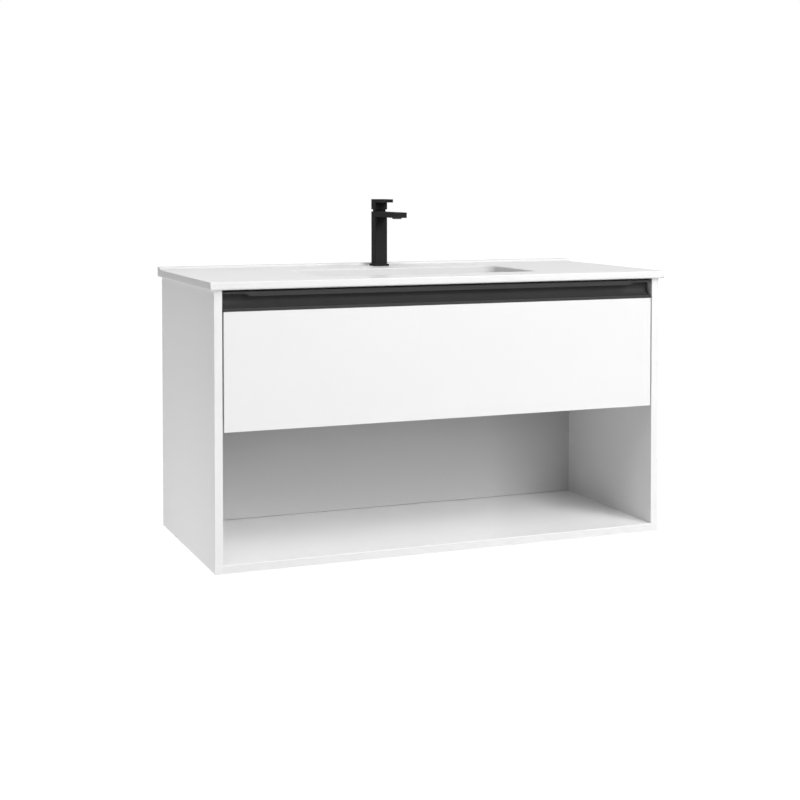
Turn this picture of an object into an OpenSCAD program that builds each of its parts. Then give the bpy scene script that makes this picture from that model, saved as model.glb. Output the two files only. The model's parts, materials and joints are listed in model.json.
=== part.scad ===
// Wall-hung bathroom vanity with an open niche, one handleless drawer on ball
// runners, a ceramic basin top and a square mixer tap.
// Millimetres. +X right, +Y into the wall, +Z up. The origin is the middle of
// the four wall screws, on the face of the wall. Inside the modules, Y runs
// from the front edge of the side panels and Z from the underside of the cabinet.

/* [Cabinet] */
// Width across the two side panels
body_w = 980; // [900:1:1200]
// Depth from the front edges of the side panels to the wall
body_d = 450; // [446:1:470]
// Height of the side panels above the dividing board
upper_h = 256; // [244:1:310]
// Thickness of the boards
board = 16; // [15:0.5:18]
// Clear height of the open niche
niche_h = 256.6; // [200:0.1:300]
// Clear depth of the open niche
niche_d = 375; // [330:1:380]
// How far the drawer front hangs below the dividing board's lower face
front_lap = 2.4; // [0:0.1:6]
// Depth of the flat rail under the front of the basin
front_rail_d = 40; // [34:1:42]
// Height of the upright rail at the back
back_rail_h = 120; // [112:1:124]
// Space between the back rail and the wall
back_rail_gap = 12; // [12:0.5:14]
// Open joint between the niche's back board and its floor
joint_gap = 0.8; // [0.2:0.1:1.5]

/* [Drawer front and handle] */
// Thickness of the drawer front
front_t = 16; // [15:0.5:19]
// Gap between the drawer front and each side panel
front_gap = 3; // [2:0.5:4]
// Gap between the handle and each side panel
handle_gap = 1.5; // [1:0.5:3]
// Gap between the handle and the basin
top_gap = 4; // [2:0.5:6]
// Height of the aluminium handle profile
handle_h = 38.3; // [34:0.1:44]
// Depth of the handle profile
handle_d = 20.5; // [19:0.5:22]
// Wall thickness of the handle profile
handle_wall = 2; // [1.6:0.1:2.2]
// Height of the upper lip
lip_h = 9; // [7:0.5:12]
// Thickness of the upper lip
lip_t = 2.5; // [2:0.1:3]
// Height of the upper lip where it is milled down at the ends
lip_end_h = 4; // [3:0.5:6]
// Length of the milled stretch at each end
lip_end_l = 45; // [20:1:90]
// Length of the slope up to the full lip
lip_slope_l = 9; // [3:1:20]
// Height of the lower nose
nose_h = 6; // [5.5:0.5:8]
// Radius of the cove at the back of the finger recess
cove_r = 16; // [4:1:17]
// Height of the flange behind the drawer front
flange_h = 22; // [16:1:30]

/* [Drawer box] */
// Thickness of the drawer's side, back and inner front
side_t = 12; // [10:1:14]
// Thickness of the drawer bottom
bottom_t = 8; // [6:0.5:10]
// Depth of the grooves that hold the drawer bottom
groove_d = 6; // [4:0.5:8]
// Width of the clear lane for the trap
lane_w = 130; // [110:1:180]
// Space between the drawer box and the basin's underside
drawer_head = 17; // [12:1:25]
// Space between the drawer box and the dividing board
drawer_foot = 9; // [6:1:12]

/* [Runners] */
// Length of the runners
runner_l = 400; // [350:10:400]
// Height of the fixed member
runner_h = 45.5; // [45:0.5:46]
// Thickness of a complete runner
runner_t = 12.7; // [12.7:0.1:13.5]
// Sheet thickness of the three members
sheet = 1.2; // [1:0.05:1.3]
// Diameter of the bearing balls
ball_d = 3.9; // [3.7:0.1:4]
// Balls in each row
ball_count = 8; // [4:1:10]
// Travel of the drawer
travel = 380; // [300:5:380]

/* [Basin] */
// How far the basin stands over the sides and the front
overhang = 10; // [5:1:20]
// Thickness of the basin's rim
rim_t = 16; // [14:0.5:20]
// Length of the bowl
bowl_w = 490; // [420:1:560]
// Distance from the front edges of the side panels to the bowl
bowl_y = 80; // [76:1:84]
// Distance from the bowl to the wall
bowl_back = 135; // [131:1:150]
// Depth of the bowl
bowl_h = 110; // [95:1:115]
// Plan radius of the bowl's corners
bowl_r = 32; // [30:1:45]
// Slope of the bowl's walls
draft = 7; // [3:1:9]
// Radius between the bowl's walls and its floor
floor_r = 17; // [8:1:18]
// Thickness of the bowl's walls and floor
bowl_t = 10; // [8:0.5:12]
// Height of the ledge along the back
ledge_h = 6; // [3:0.5:10]
// Depth of the ledge along the back
ledge_d = 24; // [18:1:26]
// Radius of the basin's lower edges
edge_r = 4; // [2:0.5:5]
// Radius of the basin's upper edges
arris_r = 2.5; // [1:0.5:4]
// Radius of the basin's corners, seen from above
plan_r = 4; // [3:0.5:8]
// Radius of the roll from the deck into the bowl
roll_r = 3.5; // [2:0.5:6]

/* [Tap] */
// Distance from the tap's axis to the wall
tap_back = 48; // [46:1:52]
// Side of the square column
tap_s = 28.4; // [28:0.1:30]
// Side of the base plate
base_s = 35; // [34:0.5:36]
// Thickness of the base plate
base_t = 4.5; // [3:0.5:6]
// Height of the column's top above the basin
column_h = 123.5; // [110:0.5:160]
// Reach of the spout from the tap's axis
spout_l = 133; // [115:1:140]
// Thickness of the spout
spout_t = 12; // [11:0.5:14]
// Distance from the tap's axis to the aerator
aerator_l = 110; // [95:1:112]
// Gap between the column and the lever block
neck_h = 4.8; // [4.6:0.1:6]
// Height of the lever block
block_h = 23.3; // [22:0.1:28]
// Thickness of the lever plate
plate_t = 7.2; // [5:0.1:9]
// Reach of the lever plate from the tap's axis
plate_l = 50; // [36:1:70]

/* [Waste and trap] */
// How far the waste sits behind the bowl's middle
waste_shift = 7.5; // [2.5:0.5:10.5]
// Radius of the waste's threaded tail
tail_r = 20.95; // [20.5:0.05:21.2]
// Outer radius of the waste pipes
pipe_r = 16; // [15:0.5:16]
// Wall thickness of the waste pipes
pipe_t = 1.6; // [1.2:0.1:2]
// How far the outlet pipe reaches into the wall
pipe_out = 40; // [30:1:60]
// Lift of the waste's cap
cap_lift = 6; // [4:0.5:8]

/* [Hidden] */
$fn = 64;

// Small clearances: between parts that seat, between a pin and its hole
seat = 0.1;
play = 0.05;
over = 1;
// How far a face runs into the round that it meets
tuck = 0.01;

// Cabinet levels and half widths
half_w = body_w / 2;
inner_half = half_w - board;
front_z = board + niche_h;
divider_z = front_z + front_lap;
divider_top = divider_z + board;
body_h = divider_top + upper_h;
front_top = body_h - top_gap - handle_h;
front_half = inner_half - front_gap;
handle_half = inner_half - handle_gap;
deck_z = body_h + rim_t;
back_rail_y = body_d - back_rail_gap - board;
back_rail_z = body_h - back_rail_h;
front_rail_y = handle_d + 3.5;

// Wall hangers
hanger_h = 46;
hanger_l = 52;
hanger_t = 14;
hanger_sheet = 1.5;
hanger_z = body_h - 65;
hanger_y1 = body_d - 10;
plate_w = 60;
plate_h = 60;
plate_sheet = 2.5;
plate_z = body_h - 69;
tongue_z = plate_z + 18;
tongue_h = 20;
hook_w = 6;
hook_x = inner_half - hanger_t / 2;
tongue_half = 7.5;
tongue_y = body_d - 8.5;
fix_spacing = 32;
fix_in = 44;
fix_x = inner_half - fix_in;
fix_r = 3.5;
fix_z = plate_z + plate_h / 2;

// Panel fittings
cam_r = 7.5;
cam_t = 12.5;
cam_in = 24;
bolt_r = 3;
rod_r = 2;
rod_head_r = 3.4;
bolt_depth = 10;
dowel_r = 4;
dowel_half = 10;
dowel_l = 30;
fit_pitch = 32;
rail_pitch = 18;
bottom_fit_in = 60;
divider_fit_in = 92;
rear_fit_in = 75;
divider_rear_fit_in = 43;
rail_fit_in = 12;
back_rail_fit_up = 16;
back_fit_up = 40;
back_fit_down = 75;
// Each fitting: distance from the front, height, the turn that puts the cam's face down,
// up or to the rear, and the step from its bolt to its dowel
bottom_fits = [[bottom_fit_in, board / 2, 0, fit_pitch],
    [niche_d - rear_fit_in, board / 2, 0, fit_pitch]];
divider_fits = [[divider_fit_in, divider_z + board / 2, 180, fit_pitch],
    [niche_d - divider_rear_fit_in, divider_z + board / 2, 180, fit_pitch]];
front_rail_fits = [[front_rail_y + rail_fit_in, body_h - board / 2, 0, rail_pitch]];
back_rail_fits = [[back_rail_y + board / 2, back_rail_z + back_rail_fit_up, 90, rail_pitch]];
niche_back_fits = [[niche_d + board / 2, board + back_fit_up, 90, fit_pitch],
    [niche_d + board / 2, front_z - back_fit_down, 90, fit_pitch]];
all_fits = concat(bottom_fits, divider_fits, front_rail_fits, back_rail_fits, niche_back_fits);

// Basin and bowl
bowl_d = body_d - bowl_y - bowl_back;
bowl_mid = bowl_y + bowl_d / 2;
waste_y = bowl_mid + waste_shift;
bowl_floor = deck_z - bowl_h;
bowl_under = bowl_floor - 6 - bowl_t;
dish_h = 6;
dish_r = 74;
seat_r = 36;
seat_h = 3;
boss_r = 38;
boss_z = bowl_under - 13;
waste_hole_r = 23;
tap_hole_r = 17.5;
duct_half = 13;
duct_d = 10;
duct_wall = 8;
duct_y = bowl_y + bowl_d + bowl_t + 2;
overflow_r = 11;
overflow_z = deck_z - 38;
ledge_y = body_d - ledge_d;
ledge_r = 2;

// Drawer box
box_half = inner_half - runner_t;
box_in = box_half - side_t;
box_y1 = front_t + runner_l;
drawer_z = divider_top + drawer_foot;
drawer_top = bowl_under - drawer_head;
bottom_z = drawer_z + 10;
bottom_top = bottom_z + bottom_t;
lane_half = lane_w / 2;
lane_y = waste_y - 45;
lane_r = 20;
runner_z = drawer_z + 45;
drawer_screw_z = [drawer_z + 24, drawer_top - 18];
front_screw_x = box_in - 50;
front_screw_l = side_t + front_t - 4;

// Runner members: lateral distances from the side panel, heights from the runner's middle
runner_y = front_t + 4;
ball_r = ball_d / 2;
race_r = ball_r + play;
race_gap = 3.3;
fixed_half = runner_h / 2;
fixed_in = fixed_half - sheet;
fixed_reach = 9.6;
outer_ball_v = fixed_in - race_gap / 2;
middle_half = fixed_in - race_gap;
middle_in = middle_half - sheet;
middle_u = sheet + 1.4;
middle_reach = 10.4;
inner_ball_v = middle_in - race_gap / 2;
inner_member_half = middle_in - race_gap;
inner_member_u = middle_u + 2.7;
cage_t = 0.8;
outer_cage_u = sheet + 0.3;
inner_cage_u = middle_u + sheet + 0.3;
outer_ball_u = 5.4;
inner_ball_u = 7.4;
cage_l = runner_l - travel / 2 - 6;
cage_y = runner_y + travel / 4 + 3;
cage_arm = 6.4;
cage_end = 10;
runner_screw_y = [runner_y + 17, runner_y + runner_l / 2, runner_y + runner_l - 30];

// Screws: lengths, shank radius, head radius. A hole is deeper than its screw by screw_play
screw_play = 0.5;
corner_screw_l = 29.5;
drawer_runner_screw_l = 11.5;
runner_screw_l = 12;
screw_r = 2;
screw_head_r = 4;
thick_screw_r = 2.9;
thick_head_r = 4;

// Handle
root_r = 4;
handle_screw_count = 5;
handle_screw_in = 70;
handle_screw_l = 13.5;
handle_screw_pitch = 2 * (front_half - handle_screw_in) / (handle_screw_count - 1);

// Tap, heights above the basin's deck
tap_y = body_d - tap_back;
spigot_r = 13.5;
spigot_z = -6;
cartridge_r = 11;
cartridge_h = 32;
inlet_r = 5;
inlet_x = 7.2;
inlet_y = -1.5;
inlet_d = 14;
way_r = 3;
stud_r = 3;
stud_y = 9.8;
stud_l = 46;
stud_in = 10;
spout_way_r = 4.2;
aerator_r = 11;
aerator_in_r = 10;
aerator_out = 2.7;
aerator_in = 5;
corner_r = 1.2;
stem_r = 5;
stem_s = 8;
stem_top = 6;
carrier_x = 23.6;
carrier_y = 20;
carrier_top = 13;
pivot_h = 8.6;
pin_r = 1.5;
block_s = tap_s + 0.1;
cavity_s = 24;
cavity_h = 12;
washer_r = 22;
rubber_t = 3;
clamp_t = 2.5;
nut_h = 8;
nut_r = 6.4;

// Waste and trap
waste_z = bowl_floor - dish_h;
flange_r = 35;
tail_wall = 3;
tail_l = 29;
tail_z = boss_z - tail_l;
cap_r = 32;
cap_t = 3;
cap_gap = 0.3;
cap_dome_r = 160;
cap_stem_r = 3;
cap_stem_end = 4;
hub_r = 7;
hub_z = boss_z + 1;
hub_t = 6;
arm_w = 3;
slot_w = 18;
slot_h = 5;
slot_z = boss_z + 7.5;
gasket_t = 5;
waste_nut_h = 9;
waste_nut_r = 31;
coupling_r = 27;
coupling_h = 24;
coupling_in = 13;
coupling_z = tail_z + coupling_in - coupling_h;
nut_lip = 6;
flute_r = 2.4;
flute_out = 1.2;
bottle_r = 30;
bottle_t = 3;
bottle_gap = 3;
bottle_top = coupling_z - bottle_gap;
stub_r = 20;
stub_l = 52;
stub_drop = 2;
outlet_z = bottle_top - stub_drop - stub_r;
cup_r = 33;
cup_h = 20;
cup_t = 3;
cup_thread = 9;
cup_gap = 1;
cup_z = outlet_z - stub_r - cup_gap - cup_h;
dip = 7;
outlet_nut_r = 26;
outlet_nut_l = 22;
pipe_in = 18;
// The groove that shows how deep the pipe goes into its socket
mark_w = 1.5;
mark_d = 0.4;
rosette_r = 34;
rosette_t = 9;

// ---------- helpers ----------

// Cabinet coordinates to the part's own frame
module placed() {
    translate([0, -body_d, -fix_z]) children();
}

// A box between two corners
module block(low, high) {
    translate(low) cube(high - low);
}

// The children and their mirror image on the other side
module both_sides() {
    children();
    mirror([1, 0, 0]) children();
}

// A flat outline in Y and Z, carried along X from the middle
module along_x(length) {
    translate([-length / 2, 0, 0]) rotate([90, 0, 90]) linear_extrude(length) children();
}

// A flat outline in X and Z, carried along Y between two distances
module along_y(from, to) {
    translate([0, to, 0]) rotate([90, 0, 0]) linear_extrude(to - from) children();
}

// What a rounded corner takes off a square one
module corner_waste(r) {
    difference() {
        translate([-over, -over]) square(r + over);
        translate([r, r]) circle(r);
    }
}

// A rectangle from the origin with rounded upper corners
module top_rounded(w, h, r) {
    difference() {
        square([w, h]);
        translate([0, h]) mirror([0, 1]) corner_waste(r);
        translate([w, h]) rotate(180) corner_waste(r);
    }
}

// A rectangle from the origin with its own radius on the lower and the upper corners
module round_rect(w, h, low_r, high_r) {
    difference() {
        top_rounded(w, h, high_r);
        corner_waste(low_r);
        translate([w, 0]) mirror([1, 0]) corner_waste(low_r);
    }
}

// A square centred on the origin with rounded corners
module round_square(s, r) {
    translate([-s / 2, -s / 2]) round_rect(s, s, r, r);
}

// A countersunk screw, its head's face at the origin and its tip down Z
module sunk_screw(length, r, head_r, slack = 0) {
    translate([0, 0, -length]) cylinder(h = length, r = r + slack);
    translate([0, 0, r - head_r]) cylinder(h = head_r - r, r1 = r + slack, r2 = head_r + slack);
}

// A tube down Z
module tube(h, r_out, r_in) {
    difference() {
        cylinder(h = h, r = r_out);
        translate([0, 0, -over]) cylinder(h = h + 2 * over, r = r_in);
    }
}

// ---------- fittings between the boards ----------

// Puts the children at each fitting on the right-hand side, X pointing to the middle
module at_fits(fits) {
    for (f = fits) translate([inner_half, f[0], f[1]]) rotate([f[2], 0, 0]) mirror([1, 0, 0]) children();
}

module cam_holes(fits) {
    at_fits(fits) {
        translate([cam_in, 0, -board / 2 - over]) cylinder(h = cam_t + over + seat, r = cam_r + play);
        translate([-bolt_depth, 0, 0]) rotate([0, 90, 0])
            cylinder(h = bolt_depth + cam_in, r = bolt_r + play);
    }
}

module dowel_holes(fits) {
    for (f = fits) at_fits([f]) translate([-dowel_half - seat, f[3], 0])
        rotate([0, 90, 0]) cylinder(h = dowel_l + 2 * seat, r = dowel_r + play);
}

module fit_holes(fits) {
    both_sides() {
        cam_holes(fits);
        dowel_holes(fits);
    }
}

module cam_lock() {
    difference() {
        translate([cam_in, 0, -board / 2]) cylinder(h = cam_t, r = cam_r);
        block([cam_in - cam_r - over, -rod_r - seat, -rod_head_r - seat],
            [cam_in, rod_r + seat, rod_head_r + seat]);
        block([cam_in - 4, -rod_head_r - seat, -rod_head_r - seat],
            [cam_in + rod_head_r, rod_head_r + seat, rod_head_r + seat]);
        translate([cam_in, 0, -board / 2]) cube([8, 1.2, 2], center = true);
        translate([cam_in, 0, -board / 2]) cube([1.2, 8, 2], center = true);
    }
}

module cam_bolt() {
    rotate([0, 90, 0]) {
        translate([0, 0, -bolt_depth]) cylinder(h = bolt_depth + 6, r = bolt_r);
        cylinder(h = cam_in, r = rod_r);
        translate([0, 0, cam_in - 3]) cylinder(h = 3, r = rod_head_r);
    }
}

module cam_locks() {
    color("silver") placed() both_sides() at_fits(all_fits) cam_lock();
}

module cam_bolts() {
    color("gray") placed() both_sides() at_fits(all_fits) cam_bolt();
}

module dowels() {
    color("burlywood") placed() both_sides() for (f = all_fits) at_fits([f])
        translate([-dowel_half, f[3], 0]) rotate([0, 90, 0]) cylinder(h = dowel_l, r = dowel_r);
}

// ---------- cabinet boards ----------

module side_panel() {
    difference() {
        block([inner_half, 0, 0], [half_w, body_d, body_h]);
        cam_holes(all_fits);
        dowel_holes(all_fits);
        at_runner_screws() sunk_screw(runner_screw_l + sheet, thick_screw_r, thick_head_r, play);
        at_hanger_screws() translate([0, 0, -hanger_sheet])
            cylinder(h = 24, r = screw_r + play, center = true);
    }
}

module side_panel_left() {
    color("whitesmoke") placed() mirror([1, 0, 0]) side_panel();
}

module side_panel_right() {
    color("whitesmoke") placed() side_panel();
}

module bottom_panel() {
    color("whitesmoke") placed() difference() {
        block([-inner_half, 0, 0], [inner_half, body_d, board]);
        fit_holes(bottom_fits);
    }
}

module divider_panel() {
    color("whitesmoke") placed() difference() {
        block([-inner_half, front_t + 2, divider_z], [inner_half, niche_d + board, divider_top]);
        fit_holes(divider_fits);
    }
}

module niche_back_panel() {
    color("whitesmoke") placed() difference() {
        block([-inner_half, niche_d, board + joint_gap], [inner_half, niche_d + board, divider_z]);
        fit_holes(niche_back_fits);
    }
}

module front_rail() {
    color("whitesmoke") placed() difference() {
        block([-inner_half, front_rail_y, body_h - board],
            [inner_half, front_rail_y + front_rail_d, body_h]);
        fit_holes(front_rail_fits);
    }
}

// Upright rail, open at both ends for the hangers and relieved under the tap
module back_rail() {
    notch_w = hanger_t + 5;
    relief_half = washer_r + 10;
    color("whitesmoke") placed() difference() {
        block([-inner_half, back_rail_y, back_rail_z], [inner_half, back_rail_y + board, body_h]);
        fit_holes(back_rail_fits);
        both_sides() block([inner_half - notch_w, back_rail_y - over, hanger_z - 5],
            [inner_half + over, body_d, hanger_z + hanger_h + 4]);
        block([-relief_half, back_rail_y - over, body_h - 32], [relief_half, body_d, body_h + over]);
    }
}

// ---------- wall hangers ----------

module at_hanger_screws() {
    for (y = [hanger_y1 - 10, hanger_y1 - hanger_l + 8])
        for (z = [hanger_z + 8, hanger_z + hanger_h - 8])
            translate([inner_half - hanger_sheet, y, z]) rotate([0, -90, 0]) children();
}

module hanger_case() {
    hook_holes = [hanger_z + 13, hanger_z + hanger_h - 11];
    difference() {
        block([inner_half - hanger_t, hanger_y1 - hanger_l, hanger_z],
            [inner_half, hanger_y1, hanger_z + hanger_h]);
        block([inner_half - hanger_t + hanger_sheet, hanger_y1 - hanger_l + hanger_sheet,
            hanger_z + hanger_sheet],
            [inner_half - hanger_sheet, hanger_y1 + over, hanger_z + hanger_h - hanger_sheet]);
        at_hanger_screws() cylinder(h = 10, r = screw_r + play, center = true);
        for (z = hook_holes) translate([hook_x, hanger_y1 - hanger_l - over, z])
            rotate([-90, 0, 0]) cylinder(h = 4, r = 3 + play);
    }
}

module hook_outline() {
    back = body_d - 1.5;
    finger = 3;
    arm_y = hanger_y1 - hanger_l + 12;
    tongue_top = tongue_z + tongue_h;
    polygon([[arm_y, hanger_z + 4], [hanger_y1 - 4, hanger_z + 4], [hanger_y1 - 4, tongue_top + 0.3],
        [back - finger, tongue_top + 0.3], [back - finger, tongue_top - 14], [back, tongue_top - 14],
        [back, hanger_z + hanger_h - 3], [arm_y, hanger_z + hanger_h - 3]]);
}

module hanger_hook() {
    difference() {
        translate([hook_x, 0, 0]) along_x(hook_w) hook_outline();
        for (z = [hanger_z + 13, hanger_z + hanger_h - 11])
            translate([hook_x, hanger_y1 - hanger_l + 12 - over, z]) rotate([-90, 0, 0])
                cylinder(h = 10 + over, r = 2 + play);
    }
}

module hanger_screws() {
    color("silver") placed() both_sides() {
        for (z = [hanger_z + 13, hanger_z + hanger_h - 11])
            translate([hook_x, hanger_y1 - hanger_l - 2, z]) rotate([-90, 0, 0]) difference() {
                union() {
                    cylinder(h = 4, r = 3);
                    cylinder(h = 23, r = 2);
                }
                cube([4, 0.9, 2.4], center = true);
                cube([0.9, 4, 2.4], center = true);
            }
        at_hanger_screws() {
            translate([0, 0, -12]) cylinder(h = 12, r = screw_r);
            cylinder(h = 1.6, r = 3.6);
        }
    }
}

module wall_plate() {
    back = body_d;
    difference() {
        union() {
            block([inner_half - 2 - plate_w, back - plate_sheet, plate_z],
                [inner_half - 2, back, plate_z + plate_h]);
            block([hook_x - tongue_half, tongue_y, tongue_z],
                [hook_x + tongue_half - 2, tongue_y + plate_sheet, tongue_z + tongue_h]);
            block([hook_x - tongue_half, tongue_y, tongue_z - plate_sheet],
                [hook_x + tongue_half - 2, back, tongue_z]);
        }
        block([hook_x - tongue_half, tongue_y + plate_sheet, tongue_z],
            [hook_x + tongue_half - 2, back + over, plate_z + plate_h + over]);
        for (s = [-1, 1]) translate([fix_x, back - plate_sheet - over, fix_z + s * fix_spacing / 2])
            rotate([-90, 0, 0]) cylinder(h = plate_sheet + 2 * over, r = fix_r);
    }
}

module hanger_cases() {
    color("silver") placed() both_sides() hanger_case();
}

module hanger_hooks() {
    color("darkgray") placed() both_sides() hanger_hook();
}

module wall_plates() {
    color("silver") placed() both_sides() wall_plate();
}

// ---------- basin ----------

// Half of a bowl's section: a sloped wall with a round foot, from the corner's axis outward
module bowl_section(r, h, foot) {
    foot_x = r - h * tan(draft) + foot * tan(draft) - foot / cos(draft);
    polygon([[-over, 0], [foot_x, 0], [foot_x + foot * cos(draft) - tuck, foot - foot * sin(draft)],
        [r, h], [-over, h]]);
    translate([foot_x, foot]) circle(foot);
}

// What the roll into the bowl takes off the deck's edge, above a wall that ends at r and h
module roll_section(r, h) {
    down = roll_r * (1 - sin(draft)) / cos(draft);
    axis_x = r - down * sin(draft) + roll_r * cos(draft);
    wall = [r - down * sin(draft), h - down * cos(draft)];
    difference() {
        polygon([wall, [axis_x, h], [axis_x, h + over], [-over, h + over], [-over, wall[1]]]);
        translate([axis_x - tuck, h - roll_r + tuck]) circle(roll_r);
    }
}

// Carries half an outline round a rectangle with rounded corners, its middle at the origin
module carry_round(w, d, r) {
    x = w / 2 - r;
    y = d / 2 - r;
    reach = 400;
    for (sx = [-1, 1]) for (sy = [-1, 1]) translate([sx * x, sy * y, 0]) rotate_extrude() intersection() {
        children();
        translate([0, -over]) square(reach);
    }
    along_y(-y, y) for (s = [0, 1]) mirror([s, 0]) translate([x, 0]) children();
    along_x(2 * x) for (s = [0, 1]) mirror([s, 0]) translate([y, 0]) children();
}

// A tray with sloped walls and rounded corners, its floor at the origin
module tray(w, d, h, r, foot) {
    carry_round(w, d, r) bowl_section(r, h, foot);
    translate([r - w / 2, r - d / 2, 0]) cube([w - 2 * r, d - 2 * r, h]);
}

// The slab and, along the wall, the ledge with a cove at its foot
module basin_slab() {
    w = body_w + 2 * overhang;
    d = body_d + overhang;
    cove_y = ledge_y - ledge_h;
    intersection() {
        along_x(w) translate([-overhang, body_h]) round_rect(d, rim_t, edge_r, arris_r);
        along_y(-overhang, body_d) translate([-w / 2, body_h]) round_rect(w, rim_t, edge_r, arris_r);
        translate([-w / 2, -overhang, body_h]) linear_extrude(rim_t) round_rect(w, d, plan_r, plan_r);
    }
    intersection() {
        along_x(w) {
            translate([ledge_y, deck_z - arris_r]) top_rounded(ledge_d, ledge_h + arris_r, ledge_r);
            difference() {
                translate([cove_y, deck_z - arris_r])
                    square([ledge_h + ledge_r, arris_r + ledge_h - ledge_r]);
                translate([cove_y, deck_z + ledge_h - tuck]) circle(ledge_h);
            }
        }
        along_y(-overhang, body_d) translate([-w / 2, body_h])
            top_rounded(w, rim_t + ledge_h, ledge_r);
        translate([-w / 2, -overhang, body_h]) linear_extrude(rim_t + ledge_h)
            round_rect(w, d, plan_r, plan_r);
    }
}

module overflow_case() {
    outer = duct_half + duct_wall;
    block([-outer, waste_y, boss_z], [outer, duct_y + duct_d + duct_wall, bowl_under + bowl_t]);
    block([-outer, duct_y - bowl_t - 12, boss_z], [outer, duct_y + duct_d + duct_wall, body_h + 2]);
}

module overflow_duct() {
    duct_z = boss_z + 6;
    block([-duct_half, waste_y, duct_z], [duct_half, duct_y + duct_d, duct_z + 7]);
    block([-duct_half, duct_y, duct_z], [duct_half, duct_y + duct_d, overflow_z + overflow_r]);
    translate([0, duct_y + over, overflow_z]) rotate([90, 0, 0]) cylinder(h = bowl_t + 14, r = overflow_r);
}

module basin_top() {
    shell_w = bowl_w + 2 * bowl_t;
    shell_d = bowl_d + 2 * bowl_t;
    color("white") placed() difference() {
        union() {
            basin_slab();
            translate([0, bowl_mid, bowl_under])
                tray(shell_w, shell_d, body_h + 2 - bowl_under, bowl_r + bowl_t, floor_r + bowl_t);
            translate([0, waste_y, boss_z]) cylinder(h = bowl_under - boss_z + 2, r = boss_r);
            overflow_case();
        }
        translate([0, bowl_mid, bowl_floor]) {
            tray(bowl_w, bowl_d, bowl_h, bowl_r, floor_r);
            carry_round(bowl_w, bowl_d, bowl_r) roll_section(bowl_r, bowl_h);
            translate([0, 0, bowl_h - over]) block([bowl_r - bowl_w / 2, bowl_r - bowl_d / 2, 0],
                [bowl_w / 2 - bowl_r, bowl_d / 2 - bowl_r, 2 * over]);
        }
        translate([0, waste_y, waste_z]) cylinder(h = dish_h + tuck, r1 = seat_r, r2 = dish_r);
        translate([0, waste_y, waste_z - seat_h]) cylinder(h = seat_h + over, r = seat_r);
        translate([0, waste_y, boss_z - over]) cylinder(h = waste_z - boss_z + over, r = waste_hole_r);
        translate([0, tap_y, body_h - over]) cylinder(h = rim_t + 2 * over, r = tap_hole_r);
        overflow_duct();
    }
}

// ---------- drawer ----------

module drawer_front() {
    color("white") placed() difference() {
        block([-front_half, 0, front_z], [front_half, front_t, front_top]);
        at_handle_screws() sunk_screw(handle_screw_l + screw_play, screw_r, screw_head_r, play);
        front_screw_holes();
    }
}

module handle_section() {
    difference() {
        square([handle_d, handle_h]);
        difference() {
            translate([-over, nose_h])
                square([handle_d - handle_wall + over, handle_h - handle_wall - nose_h]);
            translate([handle_d - handle_wall, nose_h]) mirror([1, 0]) corner_waste(cove_r);
            translate([handle_d - handle_wall, handle_h - handle_wall]) rotate(180) corner_waste(root_r);
        }
        translate([lip_t, handle_wall]) square([handle_d - handle_wall - lip_t, nose_h - 2 * handle_wall]);
    }
    translate([0, handle_h - lip_h]) square([lip_t, lip_h]);
    translate([front_t, -flange_h]) square([handle_wall, flange_h + handle_wall]);
}

module handle_profile() {
    end_z = handle_h - lip_end_h;
    lip_z = handle_h - lip_h;
    color("black") placed() difference() {
        translate([0, 0, front_top]) along_x(2 * handle_half) handle_section();
        both_sides() translate([handle_half, 0, front_top]) along_y(-over, lip_t + tuck)
            polygon([[over, lip_z - over], [over, end_z], [-lip_end_l, end_z],
                [-lip_end_l - lip_slope_l, lip_z], [-lip_end_l - lip_slope_l, lip_z - over]]);
        at_handle_screws() sunk_screw(handle_screw_l + screw_play, screw_r, screw_head_r, play);
    }
}

module at_handle_screws() {
    for (i = [0 : handle_screw_count - 1])
        translate([i * handle_screw_pitch + handle_screw_in - front_half, front_t + handle_wall,
            front_top - flange_h / 2]) rotate([-90, 0, 0]) children();
}

module handle_screws() {
    color("dimgray") placed() at_handle_screws() sunk_screw(handle_screw_l, screw_r, screw_head_r);
}

module at_front_screws() {
    for (x = [-front_screw_x, 0, front_screw_x]) for (z = drawer_screw_z)
        translate([x, front_t + side_t, z]) rotate([-90, 0, 0]) children();
}

module front_screw_holes() {
    at_front_screws() translate([0, 0, -front_screw_l - seat])
        cylinder(h = front_screw_l + seat + over, r = screw_r + play);
}

module at_corner_screws() {
    for (y = [front_t + side_t / 2, box_y1 - side_t / 2]) for (z = drawer_screw_z)
        translate([box_half, y, z]) rotate([0, 90, 0]) children();
}

module drawer_side() {
    difference() {
        block([box_in, front_t, drawer_z], [box_half, box_y1, drawer_top]);
        block([box_in - over, front_t - over, bottom_z - seat],
            [box_in + groove_d, box_y1 + over, bottom_top]);
        at_corner_screws() sunk_screw(corner_screw_l + screw_play, screw_r, screw_head_r, play);
        at_runner_drawer_screws()
            sunk_screw(drawer_runner_screw_l + screw_play, screw_r, screw_head_r, play);
    }
}

module drawer_side_left() {
    color("gainsboro") placed() mirror([1, 0, 0]) drawer_side();
}

module drawer_side_right() {
    color("gainsboro") placed() drawer_side();
}

module drawer_inner_front() {
    color("gainsboro") placed() difference() {
        block([-box_in, front_t, drawer_z], [box_in, front_t + side_t, drawer_top]);
        block([-box_in - over, front_t + side_t - groove_d, bottom_z - seat],
            [box_in + over, front_t + side_t + over, bottom_top]);
        front_screw_holes();
        both_sides() at_corner_screws() sunk_screw(corner_screw_l + screw_play, screw_r, screw_head_r, play);
    }
}

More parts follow.
